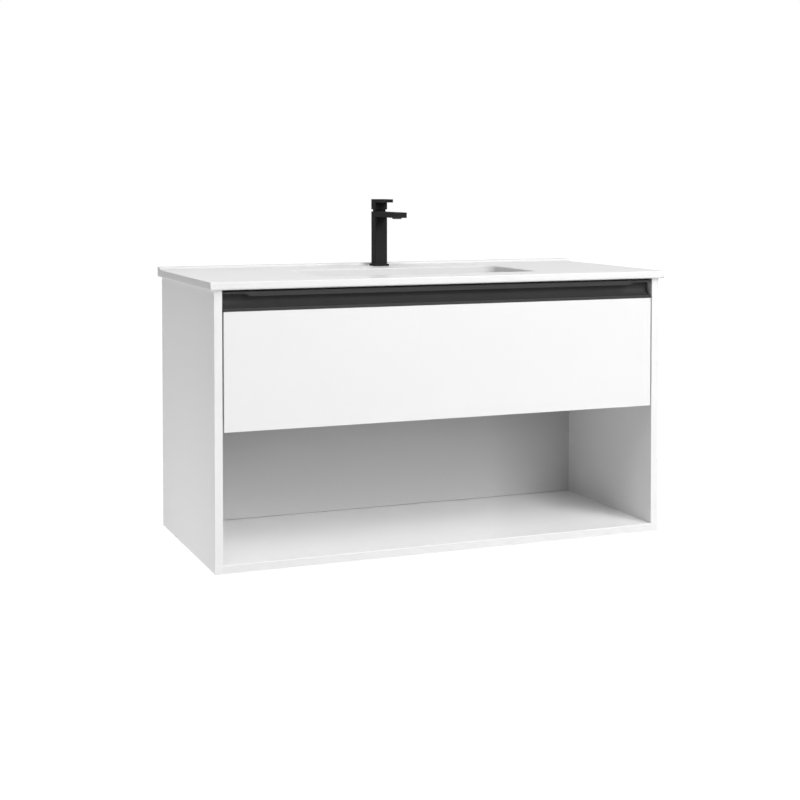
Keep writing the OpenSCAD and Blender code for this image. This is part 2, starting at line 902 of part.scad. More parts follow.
// The lane's outline: straight sides, open to the back, rounded at the front
module lane_outline(grow, y1) {
    w = lane_half + grow;
    r = lane_r + grow;
    y0 = lane_y - grow;
    translate([-w, y0 + r]) square([2 * w, y1 - y0 - r]);
    translate([r - w, y0]) square([2 * (w - r), y1 - y0]);
    for (s = [-1, 1]) translate([s * (w - r), y0 + r]) circle(r);
}

module drawer_bottom() {
    color("lightgray") placed() difference() {
        block([-box_in - groove_d + seat, front_t + side_t - groove_d + seat, bottom_z],
            [box_in + groove_d - seat, box_y1, bottom_top - seat]);
        translate([0, 0, bottom_z - over]) linear_extrude(bottom_t + 2 * over) lane_outline(0, box_y1 + over);
    }
}

module trap_surround() {
    color("gainsboro") placed() translate([0, 0, bottom_top - seat])
        linear_extrude(drawer_top - bottom_top + seat) difference() {
            lane_outline(side_t, box_y1);
            lane_outline(0, box_y1 + over);
        }
}

module drawer_back() {
    difference() {
        block([lane_half + side_t, box_y1 - side_t, bottom_top - seat], [box_in, box_y1, drawer_top]);
        at_corner_screws() sunk_screw(corner_screw_l + screw_play, screw_r, screw_head_r, play);
    }
}

module drawer_back_left() {
    color("gainsboro") placed() mirror([1, 0, 0]) drawer_back();
}

module drawer_back_right() {
    color("gainsboro") placed() drawer_back();
}

module drawer_screws() {
    color("silver") placed() {
        at_front_screws() {
            translate([0, 0, -front_screw_l]) cylinder(h = front_screw_l, r = screw_r);
            cylinder(h = 2.2, r = screw_head_r);
        }
        both_sides() at_corner_screws() sunk_screw(corner_screw_l, screw_r, screw_head_r);
    }
}

// ---------- runners ----------

// Puts a section drawn in lateral distance and height on the right-hand runner line
module runner_bar(from, to) {
    translate([inner_half, 0, runner_z]) along_y(from, to) mirror([1, 0]) children();
}

module race(u, v) {
    for (s = [-1, 1]) translate([u, s * v]) circle(race_r);
}

// Web and two flanges: a channel open away from its web
module channel(u0, u1, half, web_at) {
    translate([web_at, -half]) square([sheet, 2 * half]);
    for (s = [-1, 1]) translate([u0, s > 0 ? half - sheet : -half]) square([u1 - u0, sheet]);
}

module at_runner_screws() {
    for (y = runner_screw_y) translate([inner_half - sheet, y, runner_z]) rotate([0, -90, 0]) children();
}

module at_runner_drawer_screws() {
    for (y = runner_screw_y) translate([box_half + sheet, y + 12, runner_z]) rotate([0, 90, 0]) children();
}

module runner_fixed() {
    color("silver") difference() {
        runner_bar(runner_y, runner_y + runner_l) difference() {
            channel(0, fixed_reach, fixed_half, 0);
            race(outer_ball_u, outer_ball_v);
        }
        at_runner_screws() sunk_screw(runner_screw_l, thick_screw_r, thick_head_r, play);
    }
}

module runner_middle() {
    color("lightgray") runner_bar(runner_y + 2, runner_y + runner_l - 2) difference() {
        channel(middle_u, middle_reach, middle_half, middle_u);
        race(outer_ball_u, outer_ball_v);
        race(inner_ball_u, inner_ball_v);
    }
}

module runner_drawer() {
    color("silver") difference() {
        runner_bar(runner_y, runner_y + runner_l) difference() {
            channel(inner_member_u, runner_t, inner_member_half, runner_t - sheet);
            race(inner_ball_u, inner_ball_v);
        }
        at_runner_drawer_screws()
            sunk_screw(drawer_runner_screw_l + screw_play, screw_r, screw_head_r, play);
    }
}

// A pressed strip that spaces two rows of balls along a runner
module ball_cage(u, ball_u, ball_v) {
    pitch = (cage_l - 2 * cage_end) / (ball_count - 1);
    difference() {
        runner_bar(cage_y, cage_y + cage_l) {
            translate([u, -ball_v - cage_t / 2]) square([cage_t, 2 * ball_v + cage_t]);
            for (s = [-1, 1]) translate([u, s * ball_v - cage_t / 2]) square([cage_arm, cage_t]);
        }
        for (i = [0 : ball_count - 1]) for (s = [-1, 1])
            translate([inner_half - ball_u, cage_y + cage_end + i * pitch, runner_z + s * ball_v])
                cylinder(h = 2, r = ball_r + play, center = true);
    }
    for (i = [0 : ball_count - 1]) for (s = [-1, 1])
        translate([inner_half - ball_u, cage_y + cage_end + i * pitch, runner_z + s * ball_v])
            sphere(r = ball_r);
}

module ball_cages_outer() {
    color("gold") placed() both_sides() ball_cage(outer_cage_u, outer_ball_u, outer_ball_v);
}

module ball_cages_inner() {
    color("gold") placed() both_sides() ball_cage(inner_cage_u, inner_ball_u, inner_ball_v);
}

module runner_fixed_left() {
    placed() mirror([1, 0, 0]) runner_fixed();
}

module runner_fixed_right() {
    placed() runner_fixed();
}

module runner_middle_left() {
    placed() mirror([1, 0, 0]) runner_middle();
}

module runner_middle_right() {
    placed() runner_middle();
}

module runner_drawer_left() {
    placed() mirror([1, 0, 0]) runner_drawer();
}

module runner_drawer_right() {
    placed() runner_drawer();
}

module runner_screws() {
    color("gold") placed() both_sides() at_runner_screws()
        sunk_screw(runner_screw_l, thick_screw_r, thick_head_r);
}

module runner_drawer_screws() {
    color("silver") placed() both_sides() at_runner_drawer_screws()
        sunk_screw(drawer_runner_screw_l, screw_r, screw_head_r);
}

// ---------- tap ----------

module at_tap() {
    placed() translate([0, tap_y, deck_z]) children();
}

module tap_body() {
    color("dimgray") at_tap() difference() {
        union() {
            translate([0, 0, base_t]) linear_extrude(column_h - base_t) round_square(tap_s, corner_r);
            along_y(-spout_l, 0) translate([-tap_s / 2, column_h - spout_t])
                round_rect(tap_s, spout_t, 0.6, 0.6);
            translate([0, 0, spigot_z]) cylinder(h = base_t - spigot_z + over, r = spigot_r);
        }
        translate([0, 0, column_h - cartridge_h]) cylinder(h = cartridge_h + over, r = cartridge_r + play);
        translate([0, 0, column_h - spout_t / 2]) rotate([90, 0, 0]) cylinder(h = aerator_l, r = spout_way_r);
        translate([0, -aerator_l, column_h - spout_t - over])
            cylinder(h = aerator_in + over + 1.5, r = aerator_in_r);
        for (s = [-1, 1]) translate([s * inlet_x, inlet_y, spigot_z]) {
            translate([0, 0, -over]) cylinder(h = inlet_d + over, r = inlet_r);
            cylinder(h = column_h - cartridge_h - spigot_z + over, r = way_r);
        }
        translate([0, stud_y, spigot_z - over]) cylinder(h = stud_in + over + seat, r = stud_r + play);
    }
}

module tap_base_plate() {
    color("dimgray") at_tap() difference() {
        linear_extrude(base_t) round_square(base_s, corner_r);
        translate([0, 0, -over]) cylinder(h = base_t + 2 * over, r = spigot_r + play);
        translate([0, 0, -over]) cylinder(h = 2 * over, r = base_s / 2 - 1);
    }
}

module tap_gasket() {
    color("black") at_tap() tube(over, base_s / 2 - 1 - play, spigot_r + play);
}

// Threaded ring and its mesh of fine ways
module aerator() {
    under = column_h - spout_t;
    color("gray") at_tap() translate([0, -aerator_l, 0]) difference() {
        union() {
            translate([0, 0, under - aerator_out])
                cylinder(h = aerator_out, r1 = aerator_r - 1, r2 = aerator_r);
            translate([0, 0, under]) cylinder(h = aerator_in, r = aerator_in_r - play);
        }
        for (ring = [0 : 2]) for (i = [0 : max(0, 6 * ring - 1)])
            rotate(i * 60 / max(1, ring)) translate([2.4 * ring, 0, under - aerator_out - over])
                cylinder(h = aerator_in + aerator_out + 2 * over, r = 0.8);
    }
}

module tap_cartridge() {
    color("linen") at_tap() translate([0, 0, column_h - cartridge_h]) difference() {
        cylinder(h = cartridge_h - seat, r = cartridge_r);
        translate([0, 0, cartridge_h - 20]) cylinder(h = 20 + over, r = stem_r + play);
        for (s = [-1, 1]) translate([s * inlet_x, inlet_y, -over]) cylinder(h = 9, r = way_r - 0.6);
        translate([0, 0, cartridge_h - spout_t / 2]) rotate([90, 0, 0]) cylinder(h = 20, r = spout_way_r - 1);
    }
}

module cartridge_stem() {
    color("silver") at_tap() difference() {
        union() {
            translate([0, 0, column_h - 19.8]) cylinder(h = 19.8 + seat, r = stem_r);
            translate([-stem_s / 2, -stem_s / 2, column_h]) cube([stem_s, stem_s, stem_top]);
        }
        translate([0, 0, column_h - spout_t / 2]) rotate([90, 0, 0]) cylinder(h = 20, r = spout_way_r - 2);
    }
}

// Square neck that turns with the lever and carries its pin
module lever_carrier() {
    color("dimgray") at_tap() translate([0, 0, column_h]) difference() {
        translate([-carrier_x / 2, -carrier_y / 2, 2 * seat])
            cube([carrier_x, carrier_y, carrier_top - 2 * seat]);
        translate([-stem_s / 2 - seat, -stem_s / 2 - seat, -over])
            cube([stem_s + 2 * seat, stem_s + 2 * seat, stem_top + over + seat]);
        translate([0, 0, pivot_h]) rotate([0, 90, 0])
            cylinder(h = carrier_x + 2, r = pin_r + play, center = true);
    }
}

module lever_pin() {
    color("silver") at_tap() translate([0, 0, column_h + pivot_h]) rotate([0, 90, 0])
        cylinder(h = cavity_s + 2.2, r = pin_r, center = true);
}

module tap_lever() {
    color("dimgray") at_tap() translate([0, 0, column_h + neck_h]) difference() {
        union() {
            linear_extrude(block_h) round_square(block_s, corner_r);
            along_y(-plate_l, 0) translate([-block_s / 2, block_h - plate_t])
                round_rect(block_s, plate_t, 0.6, 0.6);
        }
        translate([-cavity_s / 2, -cavity_s / 2, -over]) cube([cavity_s, cavity_s, cavity_h + over]);
        translate([0, 0, pivot_h - neck_h]) rotate([0, 90, 0])
            cylinder(h = cavity_s + 2.4, r = pin_r + play / 2, center = true);
    }
}

module tap_stud() {
    color("silver") at_tap() translate([0, stud_y, spigot_z + stud_in - stud_l - stud_in])
        cylinder(h = stud_l + stud_in, r = stud_r);
}

module horseshoe(t) {
    linear_extrude(t) difference() {
        circle(washer_r);
        translate([-13, -washer_r - over]) square([26, washer_r + over + 4.6]);
        translate([0, stud_y]) circle(stud_r + 2 * seat);
    }
}

module tap_rubber_washer() {
    color("black") at_tap() translate([0, 0, -rim_t - rubber_t]) horseshoe(rubber_t);
}

module tap_clamp_washer() {
    color("silver") at_tap() translate([0, 0, -rim_t - rubber_t - clamp_t]) horseshoe(clamp_t);
}

module tap_nut() {
    color("gold") at_tap() translate([0, stud_y, -rim_t - rubber_t - clamp_t - nut_h]) difference() {
        cylinder(h = nut_h, r = nut_r, $fn = 6);
        translate([0, 0, -over]) cylinder(h = nut_h + 2 * over, r = stud_r + play);
    }
}

// ---------- waste and trap ----------

module at_waste() {
    placed() translate([0, waste_y, 0]) children();
}

module waste_body() {
    color("silver") at_waste() difference() {
        union() {
            translate([0, 0, waste_z - seat_h]) cylinder(h = seat_h, r = flange_r);
            translate([0, 0, tail_z]) cylinder(h = waste_z - tail_z, r = tail_r);
        }
        difference() {
            translate([0, 0, tail_z - over])
                cylinder(h = waste_z - tail_z + 2 * over, r = tail_r - tail_wall);
            for (a = [0, 90]) rotate(a) translate([-tail_r, -arm_w / 2, hub_z])
                cube([2 * tail_r, arm_w, hub_t]);
            translate([0, 0, hub_z]) cylinder(h = hub_t, r = hub_r);
        }
        translate([0, 0, hub_z - over]) cylinder(h = hub_t + 2 * over, r = cap_stem_r + play);
        translate([-slot_w / 2, -flange_r, slot_z]) cube([slot_w, 2 * flange_r, slot_h]);
    }
}

module waste_cap() {
    color("silver") at_waste() translate([0, 0, waste_z + cap_gap]) {
        rotate_extrude() intersection() {
            translate([0, cap_t - cap_dome_r]) circle(cap_dome_r, $fn = 256);
            square([cap_r, cap_t]);
        }
        translate([0, 0, hub_z - waste_z - cap_lift - cap_stem_end])
            cylinder(h = waste_z - hub_z + cap_lift + cap_stem_end + over, r = cap_stem_r);
    }
}

module waste_gasket() {
    color("black") at_waste() translate([0, 0, boss_z - gasket_t]) tube(gasket_t, boss_r - 5, tail_r + play);
}

module waste_nut() {
    color("gainsboro") at_waste() translate([0, 0, boss_z - gasket_t - waste_nut_h]) difference() {
        cylinder(h = waste_nut_h, r = waste_nut_r);
        translate([0, 0, -over]) cylinder(h = waste_nut_h + 2 * over, r = tail_r + play);
        for (i = [0 : 5]) rotate(i * 60) translate([waste_nut_r, 0, -over])
            cylinder(h = waste_nut_h - 1, r = 5);
    }
}

module trap_inlet_pipe() {
    color("white") at_waste() {
        translate([0, 0, cup_z + dip]) tube(tail_z - cup_z - dip - seat, pipe_r, pipe_r - pipe_t);
        translate([0, 0, coupling_z + nut_lip]) tube(tail_z - coupling_z - nut_lip - seat,
            tail_r - play, pipe_r - over);
    }
}

// A round nut with grip flutes, a bore for the thread and a lip for the pipe
module fluted_nut(h, r, bore, lip) {
    difference() {
        cylinder(h = h, r = r);
        translate([0, 0, lip]) cylinder(h = h, r = bore + play);
        translate([0, 0, -over]) cylinder(h = h, r = pipe_r + play);
        for (i = [0 : 11]) rotate(i * 30) translate([r + flute_out, 0, -over])
            cylinder(h = h + 2 * over, r = flute_r);
    }
}

// The outlet pipe's axis, Z pointing to the wall
module at_outlet() {
    at_waste() translate([0, 0, outlet_z]) rotate([-90, 0, 0]) children();
}

module coupling_nut() {
    color("white") at_waste() translate([0, 0, coupling_z])
        fluted_nut(coupling_h, coupling_r, tail_r, nut_lip);
}

module outlet_nut() {
    color("white") at_outlet() translate([0, 0, stub_l + nut_lip]) mirror([0, 0, 1])
        fluted_nut(outlet_nut_l, outlet_nut_r, stub_r, nut_lip);
}

module trap_bottle() {
    mouth_z = cup_z + cup_thread;
    color("white") at_waste() difference() {
        union() {
            translate([0, 0, mouth_z]) cylinder(h = bottle_top - mouth_z, r = bottle_r);
            translate([0, 0, outlet_z]) rotate([-90, 0, 0]) cylinder(h = stub_l - play, r = stub_r);
        }
        translate([0, 0, mouth_z - over]) cylinder(h = bottle_top - mouth_z - bottle_t + over,
            r = bottle_r - bottle_t);
        translate([0, 0, bottle_top - bottle_t - over]) cylinder(h = bottle_t + 2 * over, r = pipe_r + play);
        translate([0, 0, outlet_z]) rotate([-90, 0, 0]) cylinder(h = stub_l + over, r = pipe_r + play);
    }
}

module trap_cup() {
    color("white") at_waste() translate([0, 0, cup_z]) difference() {
        cylinder(h = cup_h, r = cup_r);
        translate([0, 0, cup_t]) cylinder(h = cup_h, r = bottle_r - bottle_t);
        translate([0, 0, cup_thread]) cylinder(h = cup_h, r = bottle_r + play);
        for (i = [0 : 15]) rotate(i * 22.5) translate([cup_r + flute_out, 0, -over])
            cylinder(h = cup_h + 2 * over, r = flute_r);
    }
}

module outlet_pipe() {
    start = stub_l - pipe_in;
    wall_at = body_d - waste_y;
    color("white") at_outlet() difference() {
        translate([0, 0, start]) tube(wall_at + pipe_out - start, pipe_r, pipe_r - pipe_t);
        translate([0, 0, wall_at - mark_w]) tube(mark_w, pipe_r + over, pipe_r - mark_d);
    }
}

// Dished cover over the pipe's hole in the wall
module wall_rosette() {
    color("white") at_outlet() translate([0, 0, body_d - waste_y - rosette_t]) difference() {
        cylinder(h = rosette_t, r1 = pipe_r + 5, r2 = rosette_r);
        translate([0, 0, 2]) cylinder(h = rosette_t, r1 = pipe_r + 3, r2 = rosette_r - 2);
        translate([0, 0, -over]) cylinder(h = rosette_t, r = pipe_r + play);
    }
}

side_panel_left();
side_panel_right();
bottom_panel();
divider_panel();
niche_back_panel();
front_rail();
back_rail();
dowels();
cam_locks();
cam_bolts();
hanger_cases();
hanger_hooks();
hanger_screws();
wall_plates();
basin_top();
drawer_front();
handle_profile();
handle_screws();
drawer_side_left();
drawer_side_right();
drawer_inner_front();
drawer_bottom();
drawer_back_left();
drawer_back_right();
trap_surround();
drawer_screws();
runner_fixed_left();
runner_fixed_right();
runner_middle_left();
runner_middle_right();
runner_drawer_left();
runner_drawer_right();
ball_cages_outer();
ball_cages_inner();
runner_screws();
runner_drawer_screws();
tap_body();
tap_base_plate();
tap_gasket();
aerator();
tap_cartridge();
cartridge_stem();
lever_carrier();
lever_pin();
tap_lever();
tap_stud();
tap_rubber_washer();
tap_clamp_washer();
tap_nut();
waste_body();
waste_cap();
waste_gasket();
waste_nut();
trap_inlet_pipe();
coupling_nut();
trap_bottle();
trap_cup();
outlet_nut();
outlet_pipe();
wall_rosette();
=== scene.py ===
# %% [markdown]
# # A wall-hung vanity for the studio
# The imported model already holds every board, runner, pipe and tap part at its real size.
# This script gives each of them its finish, rounds the edges that the light catches, and
# adds the small forms that a saw, a lathe or a mould leaves. It works in metres, in the
# model's own frame: the origin is the middle of the wall screws, on the face of the wall.

# %% Load the frame
import json
import math

import bmesh
import bpy
import numpy as np
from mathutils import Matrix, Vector


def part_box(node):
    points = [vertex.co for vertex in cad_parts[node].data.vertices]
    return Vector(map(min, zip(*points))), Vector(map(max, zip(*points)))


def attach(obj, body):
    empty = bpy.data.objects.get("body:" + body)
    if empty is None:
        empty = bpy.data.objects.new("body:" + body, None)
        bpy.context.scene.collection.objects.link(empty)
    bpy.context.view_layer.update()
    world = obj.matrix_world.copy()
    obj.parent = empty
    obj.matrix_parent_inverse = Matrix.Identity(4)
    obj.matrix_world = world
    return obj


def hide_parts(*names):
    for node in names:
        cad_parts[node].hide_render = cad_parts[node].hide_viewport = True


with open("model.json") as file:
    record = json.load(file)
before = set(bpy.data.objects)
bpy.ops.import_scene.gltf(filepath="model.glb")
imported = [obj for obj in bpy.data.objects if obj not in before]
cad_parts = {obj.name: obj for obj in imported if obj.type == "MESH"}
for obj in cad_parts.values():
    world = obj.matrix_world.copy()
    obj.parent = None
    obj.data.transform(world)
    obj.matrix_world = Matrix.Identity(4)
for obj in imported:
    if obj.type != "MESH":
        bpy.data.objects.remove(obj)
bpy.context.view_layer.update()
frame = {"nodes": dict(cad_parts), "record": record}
nodes = frame["nodes"]

# %% [markdown]
# ## The camera
# The product is seen from its left, a little above the basin's deck. Its uprights stay
# almost parallel, as with a view camera: the back is kept nearly upright and the lens is
# shifted down. A small tilt keeps that shift modest, so that other views stay centred.

# %% Camera
CAMERA_PLACE = (-1.20541, -3.21611, 0.24381)
CAMERA_YAW = math.radians(22.12142)
CAMERA_TILT = math.radians(2.0)
lens = bpy.data.cameras.new("studio_camera")
lens.lens = 67.0194
lens.sensor_width = 36.0
lens.shift_x = -0.01593
lens.shift_y = -0.20655
lens.clip_start, lens.clip_end = 0.05, 60.0
camera = bpy.data.objects.new("studio_camera", lens)
camera.location = CAMERA_PLACE
camera.rotation_euler = (math.pi / 2 - CAMERA_TILT, 0.0, -CAMERA_YAW)
bpy.context.scene.collection.objects.link(camera)
bpy.context.scene.camera = camera
print("camera at", CAMERA_PLACE)

# %% [markdown]
# ## Points and faces
# New pieces are worked out as whole arrays. A grid of points becomes a grid of four-sided
# faces, and a grid that closes on itself wraps round. Millimetres are easier to read on a
# drawing, so shapes are drawn in them and scaled once.

# %% Grid of faces
MM = 0.001


def grid_faces(rows, cols, wrap=False):
    """Faces of a rows by cols grid of points; wrap joins the last column to the first."""
    row = np.arange(rows - 1)[:, None] * cols
    col = np.arange(cols if wrap else cols - 1)[None, :]
    right = (col + 1) % cols
    quads = np.stack([row + col, row + right, row + cols + right, row + cols + col], axis=-1)
    return quads.reshape(-1, 4)


print("faces of a 3 by 4 grid:", len(grid_faces(3, 4)), "- closed:", len(grid_faces(3, 4, wrap=True)))

# %% [markdown]
# On a turned or moulded part the light runs on over shallow bends and breaks off at a fold.
# So a finished mesh has no doubled points, its faces look outwards, and its shading is
# smooth except where two faces meet at a sharper angle.

# %% Shading
SMOOTH_BELOW = math.radians(35)
DOUBLED_WITHIN = 1e-6


def shade_smooth(mesh):
    """Smooth faces everywhere, with edges kept sharp above an angle."""
    mesh.polygons.foreach_set("use_smooth", np.ones(len(mesh.polygons), bool))
    mesh.set_sharp_from_angle(angle=SMOOTH_BELOW)


def finish_mesh(mesh):
    """Joins doubled points, turns the faces outwards and shades them."""
    work = bmesh.new()
    work.from_mesh(mesh)
    bmesh.ops.remove_doubles(work, verts=work.verts, dist=DOUBLED_WITHIN)
    bmesh.ops.recalc_face_normals(work, faces=work.faces)
    work.to_mesh(mesh)
    work.free()
    shade_smooth(mesh)
    mesh.update()


print("doubled points join within", DOUBLED_WITHIN, "m")

# %% [markdown]
# A piece is a mesh in the scene with one finish. It rides on an empty for the body that
# moves it, and the CAD node that it stands for is hidden.

# %% Pieces
def put(name, mesh, finish, body, node):
    """Links a mesh as a piece that rides on a body and stands for a CAD node."""
    piece = bpy.data.objects.new(name, mesh)
    bpy.context.scene.collection.objects.link(piece)
    piece.data.materials.clear()
    piece.data.materials.append(finish)
    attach(piece, body)
    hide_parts(node)
    return piece


def new_piece(name, points, faces, finish, body, slot, node):
    """A piece from points in millimetres and faces; it stands for a CAD node."""
    mesh = bpy.data.meshes.new(name)
    mesh.from_pydata((np.asarray(points) * MM).tolist(), [], [list(f) for f in faces])
    finish_mesh(mesh)
    return put(name, mesh, finish, body, node)


print("piece helpers ready")

# %% [markdown]
# A smooth corner shares its normal between a wide flat and a narrow round, which makes a
# polished flat look like a pillow. Weighting each corner by the size of its faces keeps the
# flat flat and leaves the whole turn to the round.

# %% Flat flats
LARGEST_FACE_ONLY = 100


def keep_flats_flat(piece):
    """Corner normals that follow the largest face at each corner; sharp edges stay sharp."""
    weight = piece.modifiers.new("flat_normals", "WEIGHTED_NORMAL")
    weight.mode = "FACE_AREA"
    weight.weight = LARGEST_FACE_ONLY
    weight.keep_sharp = True


print("corner normals follow the largest face")

# %% [markdown]
# ## Finishes
# Gloss white lacquer, glazed ceramic, matt black powder coat, anodised aluminium, zinc
# plate, chrome, brass and plastics: each is a Principled shader whose colour, roughness
# and relief change a little over the surface, at the size that the real process leaves.
# The effects that several finishes share are node groups, built once.

# %% Node group helpers
def new_group(name, inputs, outputs):
    """An empty shader group with its sockets; returns it with its input and output nodes."""
    group = bpy.data.node_groups.new(name, "ShaderNodeTree")
    for label, kind, value in inputs:
        socket = group.interface.new_socket(label, in_out="INPUT", socket_type=kind)
        socket.default_value = value
    for label, kind in outputs:
        group.interface.new_socket(label, in_out="OUTPUT", socket_type=kind)
    return group, group.nodes.new("NodeGroupInput"), group.nodes.new("NodeGroupOutput")


def add(tree, kind, **settings):
    """A node of that kind with its properties set."""
    node = tree.nodes.new(kind)
    for key, value in settings.items():
        setattr(node, key, value)
    return node


print("group helpers ready")

# %% [markdown]
# Arithmetic and mixing take sockets and plain numbers alike, which keeps each group close
# to the formula it stands for. Every pattern starts from the same place on the piece.

# %% Node arithmetic
def math_node(tree, operation, a, b=None, clamp=False):
    """A Math node fed by sockets or numbers; returns its output."""
    node = add(tree, "ShaderNodeMath", operation=operation, use_clamp=clamp)
    for socket, value in zip(node.inputs, (a, b)):
        if isinstance(value, bpy.types.NodeSocket):
            tree.links.new(value, socket)
        elif value is not None:
            socket.default_value = value
    return node.outputs[0]


def object_point(tree):
    """The place on the piece, as Object coordinates."""
    return add(tree, "ShaderNodeTexCoord").outputs["Object"]


def mix_colours(tree, share, a, b, **settings):
    """A colour Mix node fed by sockets or plain values; returns its output."""
    node = add(tree, "ShaderNodeMix", data_type="RGBA", **settings)
    for label, value in (("Factor", share), ("A", a), ("B", b)):
        if isinstance(value, bpy.types.NodeSocket):
            tree.links.new(value, node.inputs[label])
        else:
            node.inputs[label].default_value = value
    return node.outputs["Result"]


print("node arithmetic ready")

# %% [markdown]
# **Mottle** is the slow change of tone over a large surface: a cloudy pattern picks
# between two close colours and also nudges the roughness, as wiping and handling do.

# %% Mottle group
def build_mottle():
    """Two close colours mixed by a cloud of noise, which also moves the roughness."""
    group, source, result = new_group(
        "Mottle",
        [("Colour A", "NodeSocketColor", (1, 1, 1, 1)), ("Colour B", "NodeSocketColor", (1, 1, 1, 1)),
         ("Scale", "NodeSocketFloat", 6.0), ("Roughness", "NodeSocketFloat", 0.3),
         ("Spread", "NodeSocketFloat", 0.05)],
        [("Colour", "NodeSocketColor"), ("Roughness", "NodeSocketFloat")])
    cloud = add(group, "ShaderNodeTexNoise")
    cloud.inputs["Detail"].default_value = 4.0
    cloud.inputs["Roughness"].default_value = 0.55
    group.links.new(object_point(group), cloud.inputs["Vector"])
    group.links.new(source.outputs["Scale"], cloud.inputs["Scale"])
    tone = mix_colours(group, cloud.outputs["Fac"], source.outputs["Colour A"], source.outputs["Colour B"])
    swing = math_node(group, "MULTIPLY", math_node(group, "SUBTRACT", cloud.outputs["Fac"], 0.5),
                      source.outputs["Spread"])
    rough = math_node(group, "ADD", source.outputs["Roughness"], swing, clamp=True)
    group.links.new(tone, result.inputs["Colour"])
    group.links.new(rough, result.inputs["Roughness"])
    return group


mottle = build_mottle()
print("group", mottle.name)

# %% [markdown]
# **Peel** is the fine relief of a sprayed or fired coat: a gentle wave a few millimetres
# long, with a finer grit on top for powder coats. It only puts out a height.

# %% Peel group
def build_peel():
    """A height of long soft waves and fine grit."""
    group, source, result = new_group(
        "Peel",
        [("Wave scale", "NodeSocketFloat", 250.0), ("Grit scale", "NodeSocketFloat", 1800.0),
         ("Grit share", "NodeSocketFloat", 0.2)],
        [("Height", "NodeSocketFloat")])
    point = object_point(group)
    wave = add(group, "ShaderNodeTexNoise")
    grit = add(group, "ShaderNodeTexNoise")
    wave.inputs["Detail"].default_value = 1.0
    grit.inputs["Detail"].default_value = 3.0
    for texture, label in ((wave, "Wave scale"), (grit, "Grit scale")):
        group.links.new(point, texture.inputs["Vector"])
        group.links.new(source.outputs[label], texture.inputs["Scale"])
    fine = math_node(group, "MULTIPLY", grit.outputs["Fac"], source.outputs["Grit share"])
    group.links.new(math_node(group, "ADD", wave.outputs["Fac"], fine), result.inputs["Height"])
    return group


peel = build_peel()
print("group", peel.name)

# %% [markdown]
# **Brushing** is the long scratch of an abrasive belt or of rolled and extruded metal:
# noise squeezed across one direction. The squeeze is the group's own input, so the same
# group serves steel rolled along the drawer, turned brass and the grain of beech.

# %% Brushing group
def build_brushing():
    """A mask of noise squeezed along a direction, and a roughness that follows it."""
    group, source, result = new_group(
        "Brushing",
        [("Squeeze", "NodeSocketVector", (1.0, 60.0, 60.0)), ("Scale", "NodeSocketFloat", 40.0),
         ("Roughness", "NodeSocketFloat", 0.3), ("Spread", "NodeSocketFloat", 0.15)],
        [("Mask", "NodeSocketFloat"), ("Roughness", "NodeSocketFloat")])
    squeeze = add(group, "ShaderNodeVectorMath", operation="MULTIPLY")
    group.links.new(object_point(group), squeeze.inputs[0])
    group.links.new(source.outputs["Squeeze"], squeeze.inputs[1])
    line = add(group, "ShaderNodeTexNoise")
    line.inputs["Detail"].default_value = 5.0
    line.inputs["Roughness"].default_value = 0.65
    group.links.new(squeeze.outputs["Vector"], line.inputs["Vector"])
    group.links.new(source.outputs["Scale"], line.inputs["Scale"])
    swing = math_node(group, "MULTIPLY", math_node(group, "SUBTRACT", line.outputs["Fac"], 0.5),
                      source.outputs["Spread"])
    group.links.new(line.outputs["Fac"], result.inputs["Mask"])
    group.links.new(math_node(group, "ADD", source.outputs["Roughness"], swing, clamp=True),
                    result.inputs["Roughness"])
    return group


brushing = build_brushing()
print("group", brushing.name)

# %% [markdown]
# ** Rubbed edge** finds where a surface turns sharply, by comparing its normal with one
# that a bevel of a given radius would have. Black coats look a little paler there, partly
# as rubbed wear and partly as a painted sheen on the edge.

# %% Rubbed edge group
RUBBED_AND_SHEEN_WIDTH = 0.0012


def build_rubbed_edge_and_sheen():
    """A colour that turns paler where the surface bends sharply: rubbed wear and a painted sheen."""
    group, source, result = new_group(
        "Rubbed_Edge_And_Sheen",
        [("Colour", "NodeSocketColor", (0, 0, 0, 1)),
         ("Edge colour", "NodeSocketColor", (0.1, 0.1, 0.1, 1)), ("Strength", "NodeSocketFloat", 2.0)],
        [("Colour", "NodeSocketColor")])
    soft = add(group, "ShaderNodeBevel", samples=6)
    soft.inputs["Radius"].default_value = RUBBED_AND_SHEEN_WIDTH
    true = add(group, "ShaderNodeNewGeometry")
    facing = add(group, "ShaderNodeVectorMath", operation="DOT_PRODUCT")
    group.links.new(soft.outputs["Normal"], facing.inputs[0])
    group.links.new(true.outputs["Normal"], facing.inputs[1])
    gap = math_node(group, "SUBTRACT", 1.0, facing.outputs["Value"], clamp=True)
    mask = math_node(group, "MULTIPLY", gap, source.outputs["Strength"], clamp=True)
    tone = mix_colours(group, mask, source.outputs["Colour"], source.outputs["Edge colour"])
    group.links.new(tone, result.inputs["Colour"])
    return group


rubbed_edge_and_sheen = build_rubbed_edge_and_sheen()
print("group", rubbed_edge_and_sheen.name)

# %% [markdown]
# ** Rear wall** marks, by its place, the wall of the bowl that faces the camera, and paints
# shade there: the glaze is made a shade greyer, standing in for the shade that falls inside
# the bowl, as the photo shows it.

# %% Rear wall group
BOWL_HALF = 0.245
BOWL_REAR = -0.135
DECK_Z = 0.0536
CORNER_FADE = 0.035
WALL_FOOT = (BOWL_REAR - 0.030, BOWL_REAR - 0.015)
WALL_BACK = (BOWL_REAR + 0.006, BOWL_REAR + 0.004)
WALL_TOP = (DECK_Z + 0.0005, DECK_Z - 0.0015)


def ramp(tree, value, zero, one):
    """0 at one place and 1 at another, straight between them and level beyond."""
    past = math_node(tree, "SUBTRACT", value, zero)
    return math_node(tree, "MULTIPLY", past, 1 / (one - zero), clamp=True)


